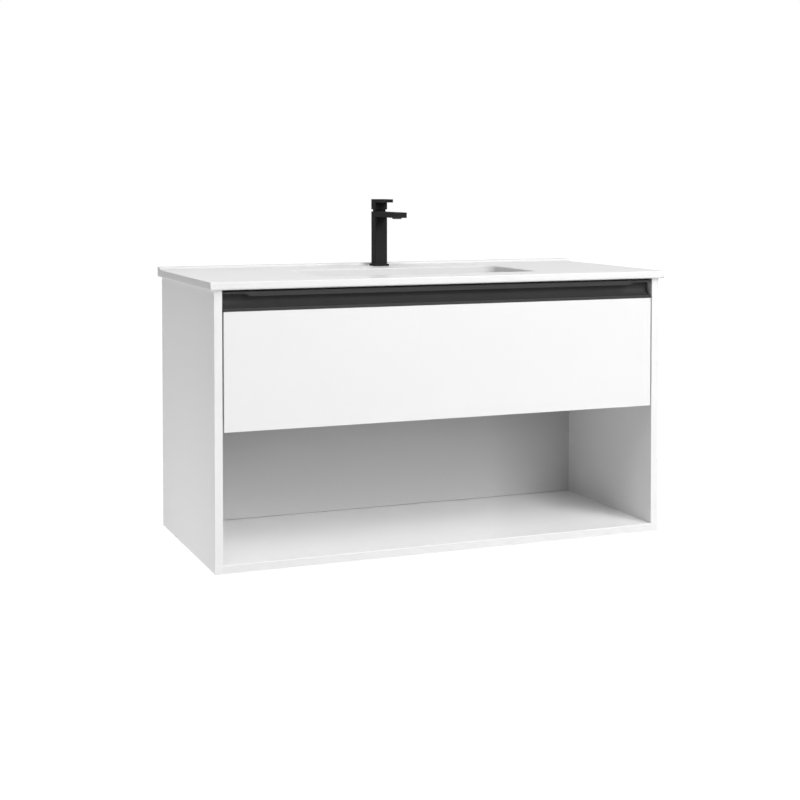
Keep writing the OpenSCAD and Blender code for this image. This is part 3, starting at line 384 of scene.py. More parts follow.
def build_rear_wall_painted_shade():
    """A colour times a painted shade on the bowl's rear wall: four ramps by place, multiplied."""
    group, source, result = new_group(
        "Rear_Wall_Painted_Shade",
        [("Colour", "NodeSocketColor", (1, 1, 1, 1)), ("Shade", "NodeSocketColor", (0.8, 0.8, 0.8, 1))],
        [("Colour", "NodeSocketColor")])
    place = add(group, "ShaderNodeSeparateXYZ")
    group.links.new(object_point(group), place.inputs[0])
    sideways = math_node(group, "ABSOLUTE", place.outputs["X"])
    mask = ramp(group, sideways, BOWL_HALF, BOWL_HALF - CORNER_FADE)
    for axis, limits in (("Y", WALL_FOOT), ("Y", WALL_BACK), ("Z", WALL_TOP)):
        mask = math_node(group, "MULTIPLY", mask, ramp(group, place.outputs[axis], *limits))
    tone = mix_colours(group, mask, source.outputs["Colour"], source.outputs["Shade"],
                       blend_type="MULTIPLY")
    group.links.new(tone, result.inputs["Colour"])
    return group


rear_wall_painted_shade = build_rear_wall_painted_shade()
print("group", rear_wall_painted_shade.name)

# %% [markdown]
# ** Height shade** paints light and shade onto a surface between two heights. The niche's
# back grows darker from its foot to its head, a painted shade for the deep shade under the
# dividing board as it looks in the photo, and the bottom board's upper face is painted paler
# than its front edge, a painted light on the niche's floor.

# %% Height shade group
def build_painted_height_shade():
    """A colour times a painted shade that goes from a foot tone to a head tone by height."""
    group, source, result = new_group(
        "Painted_Height_Shade",
        [("Colour", "NodeSocketColor", (1, 1, 1, 1)), ("Foot", "NodeSocketColor", (1, 1, 1, 1)),
         ("Head", "NodeSocketColor", (1, 1, 1, 1)), ("Low", "NodeSocketFloat", 0.0),
         ("High", "NodeSocketFloat", 1.0)],
        [("Colour", "NodeSocketColor")])
    place = add(group, "ShaderNodeSeparateXYZ")
    group.links.new(object_point(group), place.inputs[0])
    rise = add(group, "ShaderNodeMapRange")
    group.links.new(place.outputs["Z"], rise.inputs["Value"])
    group.links.new(source.outputs["Low"], rise.inputs["From Min"])
    group.links.new(source.outputs["High"], rise.inputs["From Max"])
    shade = mix_colours(group, rise.outputs["Result"], source.outputs["Foot"], source.outputs["Head"])
    tone = mix_colours(group, 1.0, source.outputs["Colour"], shade, blend_type="MULTIPLY")
    group.links.new(tone, result.inputs["Colour"])
    return group


painted_height_shade = build_painted_height_shade()
print("group", painted_height_shade.name)

# %% [markdown]
# ## Building a finish
# A finish starts as a plain Principled shader. Numbers that are the same all over the
# surface, such as metalness or the clear coat, are set straight on it, and the groups above
# bring what varies.

# %% Finish helpers
def shader_of(material):
    """A material's Principled shader."""
    return next(n for n in material.node_tree.nodes if n.type == "BSDF_PRINCIPLED")


def placed_group(tree, group, **values):
    """A group in a material with its own values; underscores in the names stand for spaces."""
    node = add(tree, "ShaderNodeGroup", node_tree=group)
    for key, value in values.items():
        node.inputs[key.replace("_", " ")].default_value = value
    return node


def new_finish(name, **plain):
    """A material whose shader has these plain values."""
    material = bpy.data.materials.new(name)
    material.use_nodes = True
    shader = shader_of(material)
    for key, value in plain.items():
        shader.inputs[key.replace("_", " ")].default_value = value
    return material, material.node_tree, shader


def relief(tree, shader, height, depth):
    """A Bump node from a height to the shader's normal; depth is in metres."""
    bump = add(tree, "ShaderNodeBump")
    bump.inputs["Strength"].default_value = 1.0
    bump.inputs["Distance"].default_value = depth
    tree.links.new(height, bump.inputs["Height"])
    tree.links.new(bump.outputs["Normal"], shader.inputs["Normal"])


print("finish helpers ready")

# %% [markdown]
# Lacquer and glaze cover a part with a skin, and rubber or plastic takes one from its mould,
# so one helper serves them all: two close colours, a roughness that wanders, and the relief.

# %% Coat
def coat(name, pale, dark, rough, wave, depth, spread=0.04, cloud=6.0, grit=1800.0, grit_share=0.2,
         **plain):
    """A coated or moulded surface: mottled colour, a roughness that wanders, and a fine relief."""
    material, tree, shader = new_finish(name, **plain)
    tone = placed_group(tree, mottle, Colour_A=pale, Colour_B=dark, Scale=cloud, Roughness=rough,
                        Spread=spread)
    skin = placed_group(tree, peel, Wave_scale=wave, Grit_scale=grit, Grit_share=grit_share)
    tree.links.new(tone.outputs["Colour"], shader.inputs["Base Color"])
    tree.links.new(tone.outputs["Roughness"], shader.inputs["Roughness"])
    relief(tree, shader, skin.outputs["Height"], depth)
    return material


print("coat helper ready")

# %% [markdown]
# ### White surfaces
# The boards are lacquered and the drawer front has the same lacquer polished to a high
# gloss, so both get a clear coat. The niche's two boards have light and shade painted in:
# the bottom board's upper face is paler than its front edge, and the back board is darker
# overall and darker still toward its head, where shade falls under the dividing board.

# %% Lacquers
NICHE_FLOOR = -0.492
NICHE_HEAD = -0.235


def colour(value, tint=(1.0, 1.0, 1.0)):
    """A grey of that level with a slight tint, as red, green, blue and alpha."""
    return (value * tint[0], value * tint[1], value * tint[2], 1.0)


def board_coat(name, level):
    """Gloss lacquer on board, at that level of white."""
    return coat(name, colour(level), colour(level - 0.015), rough=0.4, spread=0.08, cloud=3.0,
                wave=160.0, grit_share=0.05, depth=4e-6, Specular_IOR_Level=0.0, Coat_Weight=0.75,
                Coat_Roughness=0.07, Coat_IOR=1.5)


def shaded_by(material, group, **values):
    """Leads a finish's own colour through a group that shades it by place."""
    tree = material.node_tree
    base = shader_of(material).inputs["Base Color"]
    shaded = placed_group(tree, group, **values)
    tree.links.new(base.links[0].from_socket, shaded.inputs["Colour"])
    tree.links.new(shaded.outputs["Colour"], base)


board_lacquer = board_coat("board_lacquer", 0.78)
shelf_lacquer_painted_light = board_coat("shelf_lacquer_painted_light", 0.965)
# Painted light: the bottom board's upper face is paler than its front edge.
shaded_by(shelf_lacquer_painted_light, painted_height_shade, Foot=colour(0.79), Low=NICHE_FLOOR - 0.0015,
          High=NICHE_FLOOR - 0.0005)
# Painted shade: the niche's back is darker, and darker still toward its head.
back_lacquer_painted_shade = board_coat("back_lacquer_painted_shade", 0.68)
shaded_by(back_lacquer_painted_shade, painted_height_shade, Head=colour(0.6), Low=NICHE_FLOOR, High=NICHE_HEAD)
front_lacquer = coat("front_lacquer", colour(0.76), colour(0.75), rough=0.3, spread=0.05, cloud=2.0,
                     wave=120.0, grit_share=0.02, depth=2e-6, Specular_IOR_Level=0.0, Coat_Weight=1.0,
                     Coat_Roughness=0.02, Coat_IOR=1.5)
print("lacquers ready")

# %% [markdown]
# The ceramic is a little cooler, and its glaze, fired over a slightly uneven body, has a
# longer and softer wave and mirrors the tap only softly. Moulded plastic is white without a
# clear coat, and the drawer's melamine is grey paper pressed to a fine grain.

# %% Ceramic, plastic and melamine
ceramic_glaze = coat("ceramic_glaze", colour(0.76, (0.995, 1.0, 1.0)), colour(0.745, (1.0, 1.0, 0.995)),
                     rough=0.3, spread=0.06, cloud=5.0, wave=45.0, grit_share=0.03, depth=6e-6,
                     Specular_IOR_Level=0.0, Coat_Weight=0.5, Coat_Roughness=0.3, Coat_IOR=1.5)
# Painted shade: the glaze is greyer on the bowl's rear wall, where shade falls in the bowl.
shaded_by(ceramic_glaze, rear_wall_painted_shade, Shade=colour(0.83))
white_plastic = coat("white_plastic", colour(0.80, (1.0, 1.0, 0.985)), colour(0.77, (1.0, 1.0, 0.98)),
                     rough=0.28, spread=0.08, cloud=18.0, wave=90.0, grit_share=0.1, depth=8e-6)
drawer_melamine = coat("drawer_melamine", colour(0.40, (1.0, 1.0, 0.985)), colour(0.36, (1.0, 1.0, 0.98)),
                       rough=0.45, spread=0.1, cloud=14.0, wave=700.0, grit=2600.0, grit_share=0.6,
                       depth=1.2e-5)
print("ceramic, plastic and melamine ready")

# %% [markdown]
# ### Black surfaces
# The tap is powder coated: matt, with a fine grit that catches the light. The handle is
# anodised aluminium, smoother and a little paler, with a finer grit. On both, sharp edges
# show paler, partly as wear and partly as a painted sheen.

# %% Black finishes
def black_coat(name, base, edge, rough, strength, wave, grit, grit_share, depth, **plain):
    """A matt black whose sharp edges show a little paler, from wear and a painted sheen."""
    material, tree, shader = new_finish(name, **plain)
    tone = placed_group(tree, mottle, Colour_A=base, Colour_B=tuple(c * 0.8 for c in base[:3]) + (1,),
                        Scale=30.0, Roughness=rough, Spread=0.12)
    # Paler sharp edges: partly wear, partly a painted sheen.
    rub_and_sheen = placed_group(tree, rubbed_edge_and_sheen, Edge_colour=edge, Strength=strength)
    skin = placed_group(tree, peel, Wave_scale=wave, Grit_scale=grit, Grit_share=grit_share)
    tree.links.new(tone.outputs["Colour"], rub_and_sheen.inputs["Colour"])
    tree.links.new(rub_and_sheen.outputs["Colour"], shader.inputs["Base Color"])
    tree.links.new(tone.outputs["Roughness"], shader.inputs["Roughness"])
    relief(tree, shader, skin.outputs["Height"], depth)
    return material


tap_coat = black_coat("tap_coat", colour(0.021), colour(0.046), rough=0.8, strength=1.2, wave=900.0,
                      grit=3200.0, grit_share=0.8, depth=1.6e-5, Specular_IOR_Level=0.1)
handle_coat = black_coat("handle_coat", colour(0.05), colour(0.093), rough=0.5, strength=1.0, wave=500.0,
                         grit=2500.0, grit_share=0.4, depth=4e-6, Specular_IOR_Level=0.1)
rubber = coat("rubber", colour(0.012), colour(0.008), rough=0.7, spread=0.1, cloud=60.0, wave=900.0,
              grit_share=0.8, depth=2e-5, Specular_IOR_Level=0.3)
print("black finishes ready")

# %% [markdown]
# ### Metals
# Zinc-plated sheet is rolled along the drawer, turned parts have their lines round the
# axis, and chrome is a mirror with the faintest haze. The squeeze says which way the lines
# run: along the axes whose numbers are small.

# %% Metal finishes
def metal(name, pale, dark, rough, spread, squeeze, scale, depth=2e-6, **plain):
    """A drawn, rolled or turned metal: lines along one direction in colour and roughness."""
    material, tree, shader = new_finish(name, Metallic=1.0, **plain)
    lines = placed_group(tree, brushing, Squeeze=squeeze, Scale=scale, Roughness=rough, Spread=spread)
    tree.links.new(mix_colours(tree, lines.outputs["Mask"], pale, dark), shader.inputs["Base Color"])
    tree.links.new(lines.outputs["Roughness"], shader.inputs["Roughness"])
    relief(tree, shader, lines.outputs["Mask"], depth)
    return material


zinc_plate = metal("zinc_plate", colour(0.62, (0.98, 1.0, 1.02)), colour(0.50, (1.0, 1.0, 0.99)),
                   rough=0.32, spread=0.18, squeeze=(60.0, 1.0, 60.0), scale=22.0)
screw_zinc = metal("screw_zinc", colour(0.60, (1.0, 0.99, 0.94)), colour(0.48, (1.0, 0.98, 0.9)),
                   rough=0.3, spread=0.2, squeeze=(60.0, 60.0, 60.0), scale=12.0)
cage_steel = metal("cage_steel", colour(0.52), colour(0.42), rough=0.36, spread=0.2,
                   squeeze=(50.0, 1.0, 50.0), scale=30.0)
die_cast = metal("die_cast", colour(0.50), colour(0.42), rough=0.42, spread=0.15,
                 squeeze=(30.0, 30.0, 30.0), scale=20.0, depth=1e-5)
stainless = metal("stainless", colour(0.58, (1.0, 0.99, 0.97)), colour(0.48), rough=0.28, spread=0.15,
                  squeeze=(60.0, 60.0, 1.0), scale=30.0)
chrome = metal("chrome", colour(0.78), colour(0.74), rough=0.06, spread=0.03, squeeze=(8.0, 8.0, 8.0),
               scale=6.0, depth=5e-7)
brass = metal("brass", (0.62, 0.44, 0.19, 1), (0.5, 0.35, 0.14, 1), rough=0.3, spread=0.15,
              squeeze=(20.0, 20.0, 90.0), scale=20.0)
print("metals ready")

# %% [markdown]
# ### The rest
# The tap's cartridge is nylon and its aerator acetal, both moulded. The dowels are beech,
# which shows its grain along X.

# %% Plastics and beech
nylon = coat("nylon", colour(0.62, (1.0, 0.97, 0.88)), colour(0.56, (1.0, 0.96, 0.86)), rough=0.45,
             wave=300.0, depth=1e-5)
acetal = coat("acetal", colour(0.13), colour(0.10), rough=0.4, wave=300.0, depth=1e-5)


def build_beech():
    """Plain beech: grain stretched along X, between two browns."""
    material, tree, shader = new_finish("beech")
    grain = placed_group(tree, brushing, Squeeze=(3.0, 60.0, 60.0), Scale=9.0, Roughness=0.6, Spread=0.2)
    tone = mix_colours(tree, grain.outputs["Mask"], (0.55, 0.33, 0.16, 1), (0.38, 0.21, 0.09, 1))
    tree.links.new(tone, shader.inputs["Base Color"])
    tree.links.new(grain.outputs["Roughness"], shader.inputs["Roughness"])
    relief(tree, shader, grain.outputs["Mask"], 4e-5)
    return material


beech = build_beech()
print("materials, with the CAD model's own:", len(bpy.data.materials))

# %% [markdown]
# ## Boards
# A lacquered board has edges sanded to about half a millimetre. `rounded_board` draws the
# six faces of a box as grids and pulls every point to the radius from a smaller inner box,
# so flats, edge rounds and ball corners come from one rule.

# %% Rounded board
EDGE_STEPS = 4
EDGE_RADIUS = 0.5


def rounded_board(low, high):
    """Six gridded faces of a box: p = inner + radius * (p - inner) / |p - inner|, inner = p kept in."""
    bend = EDGE_RADIUS * (1 - np.tan(np.linspace(0, math.pi / 4, EDGE_STEPS + 1)))[::-1]
    lines = [np.concatenate([low[a] + bend, high[a] - bend[::-1]]) for a in range(3)]
    points, faces, start = [], [], 0
    for axis in range(3):
        u, v = [a for a in range(3) if a != axis]
        gu, gv = np.meshgrid(lines[u], lines[v], indexing="ij")
        for level in (low[axis], high[axis]):
            face = np.empty(gu.shape + (3,))
            face[..., axis], face[..., u], face[..., v] = level, gu, gv
            inner = np.clip(face, low + EDGE_RADIUS, high - EDGE_RADIUS)
            away = face - inner
            face = inner + EDGE_RADIUS * away / np.linalg.norm(away, axis=-1, keepdims=True)
            points.append(face.reshape(-1, 3))
            faces.append(grid_faces(*gu.shape) + start)
            start += gu.size
    return np.concatenate(points), np.concatenate(faces)


print("points of a board:", len(rounded_board(np.zeros(3), np.full(3, 16.0))[0]))

# %% [markdown]
# In outline the two sides and the drawer front are plain boxes, and the fittings fill the
# holes drilled in them, so the box of each node is all that its board needs.

# %% Sides and drawer front
def box_of(node):
    """Low and high corner of a CAD node, in millimetres."""
    return (np.array(corner, float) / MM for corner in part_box(node))


finished = set()


def board_piece(node, finish, body, slot):
    """A rounded board in the box of a CAD node, which it stands for."""
    piece = new_piece(node + "_board", *rounded_board(*box_of(node)), finish, body, slot, node)
    keep_flats_flat(piece)
    finished.add(node)


for node in ("side_panel_left", "side_panel_right"):
    board_piece(node, board_lacquer, "carcass", "lacquered_board")
board_piece("drawer_front", front_lacquer, "drawer", "front_lacquer")
print("boards:", sorted(finished))

# %% [markdown]
# ## Telling solids apart
# One CAD node can hold several solids, such as all the screws of a drawer. Every corner
# starts with its own number and takes the lowest number among its neighbours, again and
# again, until each solid has a single number.

# %% Solids of a node
SAME_POINT = 2e-6


def merged_work(mesh):
    """A bmesh of a mesh of loose triangles, with its doubled points joined."""
    work = bmesh.new()
    work.from_mesh(mesh)
    bmesh.ops.remove_doubles(work, verts=work.verts, dist=SAME_POINT)
    work.verts.index_update()
    return work


def solid_numbers(work):
    """Points in millimetres and the number of the solid that each belongs to."""
    points = np.array([v.co for v in work.verts]) / MM
    start, end = np.array([[v.index for v in edge.verts] for edge in work.edges]).T
    number = np.arange(len(points))
    settled = False
    while not settled:
        lowest = np.minimum(number[start], number[end])
        spread = number.copy()
        np.minimum.at(spread, start, lowest)
        np.minimum.at(spread, end, lowest)
        spread = spread[spread]
        settled = np.array_equal(spread, number)
        number = spread
    return points, number


def solids_of(node):
    """The corner points of each solid of a CAD node."""
    work = merged_work(nodes[node].data)
    points, number = solid_numbers(work)
    work.free()
    return [points[number == value] for value in np.unique(number)]


print("solids of ball_cages_outer:", len(solids_of("ball_cages_outer")))

# %% [markdown]
# ## Screws
# A screw is rolled and its head is struck, so it has a helical thread and a cross recess
# that a plain pin lacks. Each one is measured in the CAD node, where its longest side gives
# the axis and its wider end the head.

# %% Measuring a screw
END_BAND = 0.1
HEAD_BAND = 0.05


def measured_screw(points):
    """Middle of the head's face, unit vector to the head, then length, shank, head and head's side."""
    low, high = points.min(axis=0), points.max(axis=0)
    axis = int(np.argmax(high - low))
    across = [a for a in range(3) if a != axis]
    middle = (low + high) / 2
    away = np.linalg.norm(points[:, across] - middle[across], axis=1)
    at_high = away[points[:, axis] > high[axis] - END_BAND].max()
    at_low = away[points[:, axis] < low[axis] + END_BAND].max()
    way = np.zeros(3)
    way[axis] = 1.0 if at_high > at_low else -1.0
    face = middle.copy()
    face[axis] = high[axis] if at_high > at_low else low[axis]
    head = away.max()
    side = np.abs(points[away > head - HEAD_BAND, axis] - face[axis]).max()
    return face, way, high[axis] - low[axis], min(at_high, at_low), head, side


first_screw = measured_screw(solids_of("handle_screws")[0])
print("handle screw: length, shank, head, side", [round(float(v), 2) for v in first_screw[2:]])

# %% [markdown]
# The thread is a triangle wave that climbs one pitch a turn, cut into the shank and tapered
# to the tip. It is a table with a row for each quarter of the pitch and a column for each
# side, and it holds the radius and how far down that lies.

# %% Thread
SCREW_SIDES = 24
ROWS_A_TURN = 4
TIP_SHARE = 0.12


def thread_rows(length, radius, pitch, depth, tip):
    """Rows of radius * taper and depth: radius - depth * |2 frac(down / pitch - turn) - 1|."""
    down = np.arange(0.0, length, pitch / ROWS_A_TURN)[:, None]
    turn = np.arange(SCREW_SIDES)[None, :] / SCREW_SIDES
    wave = np.abs(((down / pitch - turn) % 1.0) * 2.0 - 1.0)
    taper = np.clip((length - down) / tip, TIP_SHARE, 1.0)
    return (radius - depth * wave) * taper, np.broadcast_to(down, wave.shape)


print("sides round a screw:", SCREW_SIDES)

# %% [markdown]
# The head's face is a set of rings of the same kind: a low dome, pressed in where the rings
# cross the arms of the recess.

# %% Head
RECESS_REACH, RECESS_HALF, RECESS_DEPTH = 2.3, 0.5, 1.7
RECESS_RINGS = [0.0, 0.35, 0.7, 1.2, 1.7, 2.1, RECESS_REACH]
FACE_SHARE = 0.9
DOME_SHARE = 0.25


def head_rows(head, side):
    """Rings of the head's face: a dome side / 4 * (ring / head)^2 with a cross pressed in."""
    angle = 2 * np.pi * np.arange(SCREW_SIDES)[None, :] / SCREW_SIDES
    ring = np.array(RECESS_RINGS + [FACE_SHARE * head])[:, None]
    off_arm = np.minimum(np.abs(np.sin(angle)), np.abs(np.cos(angle))) * ring
    inside = np.clip((1.5 * RECESS_HALF - off_arm) / (0.5 * RECESS_HALF), 0, 1)
    dome = DOME_SHARE * side * (ring / head) ** 2
    deep = dome + RECESS_DEPTH * inside * np.clip(1 - ring / RECESS_REACH, 0, 1)
    return np.broadcast_to(ring, deep.shape), deep


print("rings of a head:", len(RECESS_RINGS) + 1)

# %% [markdown]
# Stacked from the face to the tip, the rows make the whole screw. `around` then lays a
# table of radius and depth round the screw's axis, which makes it a mesh.

# %% Whole screw
SCREW_PITCH, SCREW_THREAD, SCREW_TIP = 1.8, 0.42, 3.0
BEND_SHARE = 0.45
LEAST_BEND, LEAST_SIDE, LEAST_NECK = 0.05, 0.12, 0.02
NECK_GAP = 0.3


def screw_rows(length, shank, head, side):
    """Radius and depth below the face: the head's face and edge, the neck, the thread and the tip."""
    neck = max(side, head - shank)
    edges = ((head, max(BEND_SHARE * side, LEAST_BEND)), (head, max(side, LEAST_SIDE)),
             (shank, max(neck, side + LEAST_NECK)))
    rows = [head_rows(head, side)]
    rows += [(np.full((1, SCREW_SIDES), r), np.full((1, SCREW_SIDES), d)) for r, d in edges]
    start = neck + NECK_GAP
    thread, down = thread_rows(length - neck - NECK_GAP, shank, SCREW_PITCH, SCREW_THREAD, SCREW_TIP)
    rows += [(thread, down + start), (np.zeros((1, SCREW_SIDES)), np.full((1, SCREW_SIDES), length))]
    radius, depth = zip(*rows)
    return np.concatenate(radius), np.concatenate(depth)


def around(face, way, radius, depth):
    """Points round an axis: face - depth * way + radius * (a cos t + b sin t), a and b across it."""
    side_a = np.roll(way, 1)
    side_b = np.cross(way, side_a)
    angle = 2 * np.pi * np.arange(SCREW_SIDES)[None, :, None] / SCREW_SIDES
    ring = radius[..., None] * (np.cos(angle) * side_a + np.sin(angle) * side_b)
    return (face - depth[..., None] * way + ring).reshape(-1, 3)


print("rows of the handle screw:", len(screw_rows(*first_screw[2:])[0]))

# %% [markdown]
# All the screws of a node become one piece, which rides on the body that they hold.

# %% All the screws
def screws(node, finish, body, slot):
    """All the screws of a node as one piece."""
    points, faces, start = [], [], 0
    for solid in solids_of(node):
        face, way, *sizes = measured_screw(solid)
        radius, depth = screw_rows(*sizes)
        points.append(around(face, way, radius, depth))
        faces.append(grid_faces(*radius.shape, wrap=True) + start)
        start += radius.size
    new_piece(node + "_cut", np.concatenate(points), np.concatenate(faces), finish, body, slot, node)
    finished.add(node)
    print(node, len(points), "screws")


screws("handle_screws", handle_coat, "drawer", "black_screw")
screws("drawer_screws", screw_zinc, "drawer", "zinc_steel")
screws("runner_drawer_screws", screw_zinc, "drawer", "zinc_steel")
screws("runner_screws", screw_zinc, "carcass", "zinc_steel")

# %% [markdown]
# The tap's stud is a rod with a finer thread from end to end, and the same rows serve it.

# %% Tap stud
STUD_PITCH, STUD_THREAD, STUD_TIP = 1.0, 0.35, 1.0


def threaded_rod(node, finish, body, slot):
    """A rod with a thread in the box of a CAD node that stands along Z, closed at both ends."""
    low, high = box_of(node)
    top = np.array([(low[0] + high[0]) / 2, (low[1] + high[1]) / 2, high[2]])
    length, rod = high[2] - low[2], (high[0] - low[0]) / 2
    thread, down = thread_rows(length, rod, STUD_PITCH, STUD_THREAD, STUD_TIP)
    ends = np.zeros((1, SCREW_SIDES))
    radius = np.concatenate([ends, thread, ends])
    depths = np.concatenate([ends, down, ends + length])
    points = around(top, np.array([0.0, 0.0, 1.0]), radius, depths)
    new_piece(node + "_cut", points, grid_faces(*radius.shape, wrap=True), finish, body, slot, node)
    finished.add(node)
    print(node, "rows:", len(radius))


threaded_rod("tap_stud", stainless, "carcass", "stainless")

# %% [markdown]
# ## Balls of the runners
# The balls are hardened and polished, while the cage that spaces them is pressed from dull
# strip. So the small solids of a cage node become mirror-bright balls: the grid of a sphere,
# laid round the middle of each. The strip comes later, with the other dressed parts.

# %% Runner balls
BALL_SIZE = 5.0
BALL_ROWS, BALL_TURNS = 11, 20


def balls(node, body):
    """A sphere for each small solid: centre + radius * (sin a cos b, sin a sin b, cos a)."""
    low_high = [(solid.min(axis=0), solid.max(axis=0)) for solid in solids_of(node)]
    small = [(low, high) for low, high in low_high if (high - low).max() < BALL_SIZE]
    rise = np.linspace(0, np.pi, BALL_ROWS)[:, None]
    turn = (2 * np.pi * np.arange(BALL_TURNS) / BALL_TURNS)[None, :]
    unit = np.stack([np.sin(rise) * np.cos(turn), np.sin(rise) * np.sin(turn),
                     np.cos(rise) * np.ones_like(turn)], axis=-1).reshape(-1, 3)
    points = np.concatenate([(low + high) / 2 + unit * (high - low).max() / 2 for low, high in small])
    one = grid_faces(BALL_ROWS, BALL_TURNS, wrap=True)
    faces = np.concatenate([one + len(unit) * i for i in range(len(small))])
    new_piece(node + "_balls", points, faces, chrome, body, "cage_steel", node)
    print(node, len(small), "balls")


balls("ball_cages_outer", "outer_cages")
balls("ball_cages_inner", "inner_cages")

# %% [markdown]
# ## Machined and moulded parts
# Parts with holes, threads and bores keep the shape they already have. A merged copy of
# the mesh lets light run smoothly over round faces and takes a small bevel on its sharp
# edges, which a copy of loose triangles can't.

# %% Dressed copies
FLAT_WITHIN = math.radians(0.6)
BEVEL_ABOVE = math.radians(40)
BEVEL_STEPS = 2


def drop_small(work, size):
    """Takes out the solids that are smaller than a size, in millimetres."""
    points, number = solid_numbers(work)
    for value in np.unique(number):
        solid = number == value
        if np.ptp(points[solid], axis=0).max() < size:
            number[solid] = -1
    work.verts.ensure_lookup_table()
    bmesh.ops.delete(work, geom=[work.verts[i] for i in np.flatnonzero(number < 0)], context="VERTS")


def dressed(node, finish, body, edge, smallest):
    """A merged copy of a CAD node with rounded edges; the copy stands for the node."""
    mesh = nodes[node].data.copy()
    mesh.name = node + "_skin"
    work = merged_work(mesh)
    if smallest:
        drop_small(work, smallest)
    bmesh.ops.dissolve_limit(work, angle_limit=FLAT_WITHIN, verts=work.verts, edges=work.edges)
    work.to_mesh(mesh)
    work.free()
    shade_smooth(mesh)
    piece = put(node + "_skin", mesh, finish, body, node)
    if edge:
        round_edges = piece.modifiers.new("round_edges", "BEVEL")
        round_edges.width = edge * MM
        round_edges.segments = BEVEL_STEPS
        round_edges.limit_method = "ANGLE"
        round_edges.angle_limit = BEVEL_ABOVE
    keep_flats_flat(piece)


print("nodes still to dress:", len(nodes) - len(finished))

# %% [markdown]
# The finish follows the material slot that the model's record gives each node, and the
# body comes from the record too. Only the two boards of the niche have their own finish,
# with light and shade painted into it.
# Bevels are in millimetres; the balls are already done, so their solids are taken out.

# %% Every other node
SLOTS = {part["node"]: part["material_slot"] for part in frame["record"]["subparts"]}
BODIES = frame["record"]["behaviour"]["bodies"]
BODY_OF = {node: body for body, members in BODIES.items() for node in members}
FINISHES = {
    "lacquered_board": board_lacquer, "front_lacquer": front_lacquer, "ceramic": ceramic_glaze,
    "drawer_board": drawer_melamine, "beech": beech, "black_aluminium": handle_coat,
    "tap_black": tap_coat, "zinc_steel": zinc_plate, "cage_steel": cage_steel, "die_cast": die_cast,
    "black_screw": handle_coat, "stainless": stainless, "chrome": chrome, "brass": brass,
    "rubber": rubber, "cartridge_plastic": nylon, "aerator_plastic": acetal,
    "white_plastic": white_plastic,
}
# The niche's boards take the lacquers with painted light and shade.
OWN_FINISH = {"bottom_panel": shelf_lacquer_painted_light, "niche_back_panel": back_lacquer_painted_shade}
EDGES = {
    "bottom_panel": 0.6, "niche_back_panel": 0.4, "divider_panel": 0.5, "tap_body": 0.45,
    "tap_base_plate": 0.4, "tap_lever": 0.45, "lever_carrier": 0.3, "handle_profile": 0.25,
    "waste_cap": 0.3, "trap_bottle": 0.8, "trap_cup": 0.6,
}
SMALLEST = {"ball_cages_outer": BALL_SIZE, "ball_cages_inner": BALL_SIZE}
for node in nodes:
    if node not in finished:
        finish = OWN_FINISH.get(node, FINISHES[SLOTS[node]])
        dressed(node, finish, BODY_OF[node], EDGES.get(node, 0.0), SMALLEST.get(node, 0.0))
print("dressed", len(nodes) - len(finished), "nodes")

# %% [markdown]
# ## Studio
# The product hangs in a white studio. Its floor is wide and pale: it returns light like a
# plain white sheet, while the camera sees it as pure white with only a trace of the shadow.

# %% Floor finish
FLOOR_TONE = 0.9
FLOOR_GLOW = 1.06
SHADOW_SHARE = 0.12
SHADOW_REACH = 2.5


def seen_ray(tree):
    """The Light Path node, and 1 for camera and mirror rays but 0 for the rest."""
    path = add(tree, "ShaderNodeLightPath")
    seen = math_node(tree, "MAXIMUM", path.outputs["Is Camera Ray"], path.outputs["Is Glossy Ray"])
    return path, seen


def build_floor_finish():
    """Diffuse to the light; to the eye mostly a white glow, with a share of the shadow near the middle."""
    material = bpy.data.materials.new("studio_floor")
    material.use_nodes = True
    tree = material.node_tree
    tree.nodes.clear()
    plain = add(tree, "ShaderNodeBsdfDiffuse")
    plain.inputs["Color"].default_value = colour(FLOOR_TONE)
    white = add(tree, "ShaderNodeEmission")
    white.inputs["Strength"].default_value = FLOOR_GLOW
    away = add(tree, "ShaderNodeVectorMath", operation="LENGTH")
    tree.links.new(object_point(tree), away.inputs[0])
    share = math_node(tree, "DIVIDE", away.outputs["Value"], SHADOW_REACH)
    near = math_node(tree, "SUBTRACT", 1.0, share, clamp=True)
    part = add(tree, "ShaderNodeMixShader")
    both = add(tree, "ShaderNodeMixShader")
    out = add(tree, "ShaderNodeOutputMaterial")
    tree.links.new(math_node(tree, "MULTIPLY", near, SHADOW_SHARE), part.inputs["Fac"])
    tree.links.new(white.outputs[0], part.inputs[1])
    tree.links.new(plain.outputs[0], part.inputs[2])
    tree.links.new(seen_ray(tree)[1], both.inputs["Fac"])
    tree.links.new(plain.outputs[0], both.inputs[1])
    tree.links.new(part.outputs[0], both.inputs[2])
    tree.links.new(both.outputs[0], out.inputs["Surface"])
    return material


floor_finish = build_floor_finish()
print("floor finish", floor_finish.name)

# %% [markdown]
# The floor itself is one square below the product. It belongs to the stage, not to the
# vanity.

# %% Floor
FLOOR_HALF = 30.0
FLOOR_Z = -0.795


def build_floor():
    """A wide flat square under the product, which belongs to the stage alone."""
    corners = np.array([[-1, -1, 0], [1, -1, 0], [1, 1, 0], [-1, 1, 0]]) * FLOOR_HALF + [0, 0, FLOOR_Z]
    mesh = bpy.data.meshes.new("studio_floor")
    mesh.from_pydata(corners.tolist(), [], [[0, 1, 2, 3]])
    mesh.materials.append(floor_finish)
    floor = bpy.data.objects.new("studio_floor", mesh)
    bpy.context.scene.collection.objects.link(floor)


build_floor()
print("floor at", FLOOR_Z)

# %% [markdown]
# The room behind is white to the camera, to mirrors and through glass, and gives the rest
# only a little even light, so that the shade inside the niche stays deep.

# %% Room
ROOM_LIGHT = 0.086


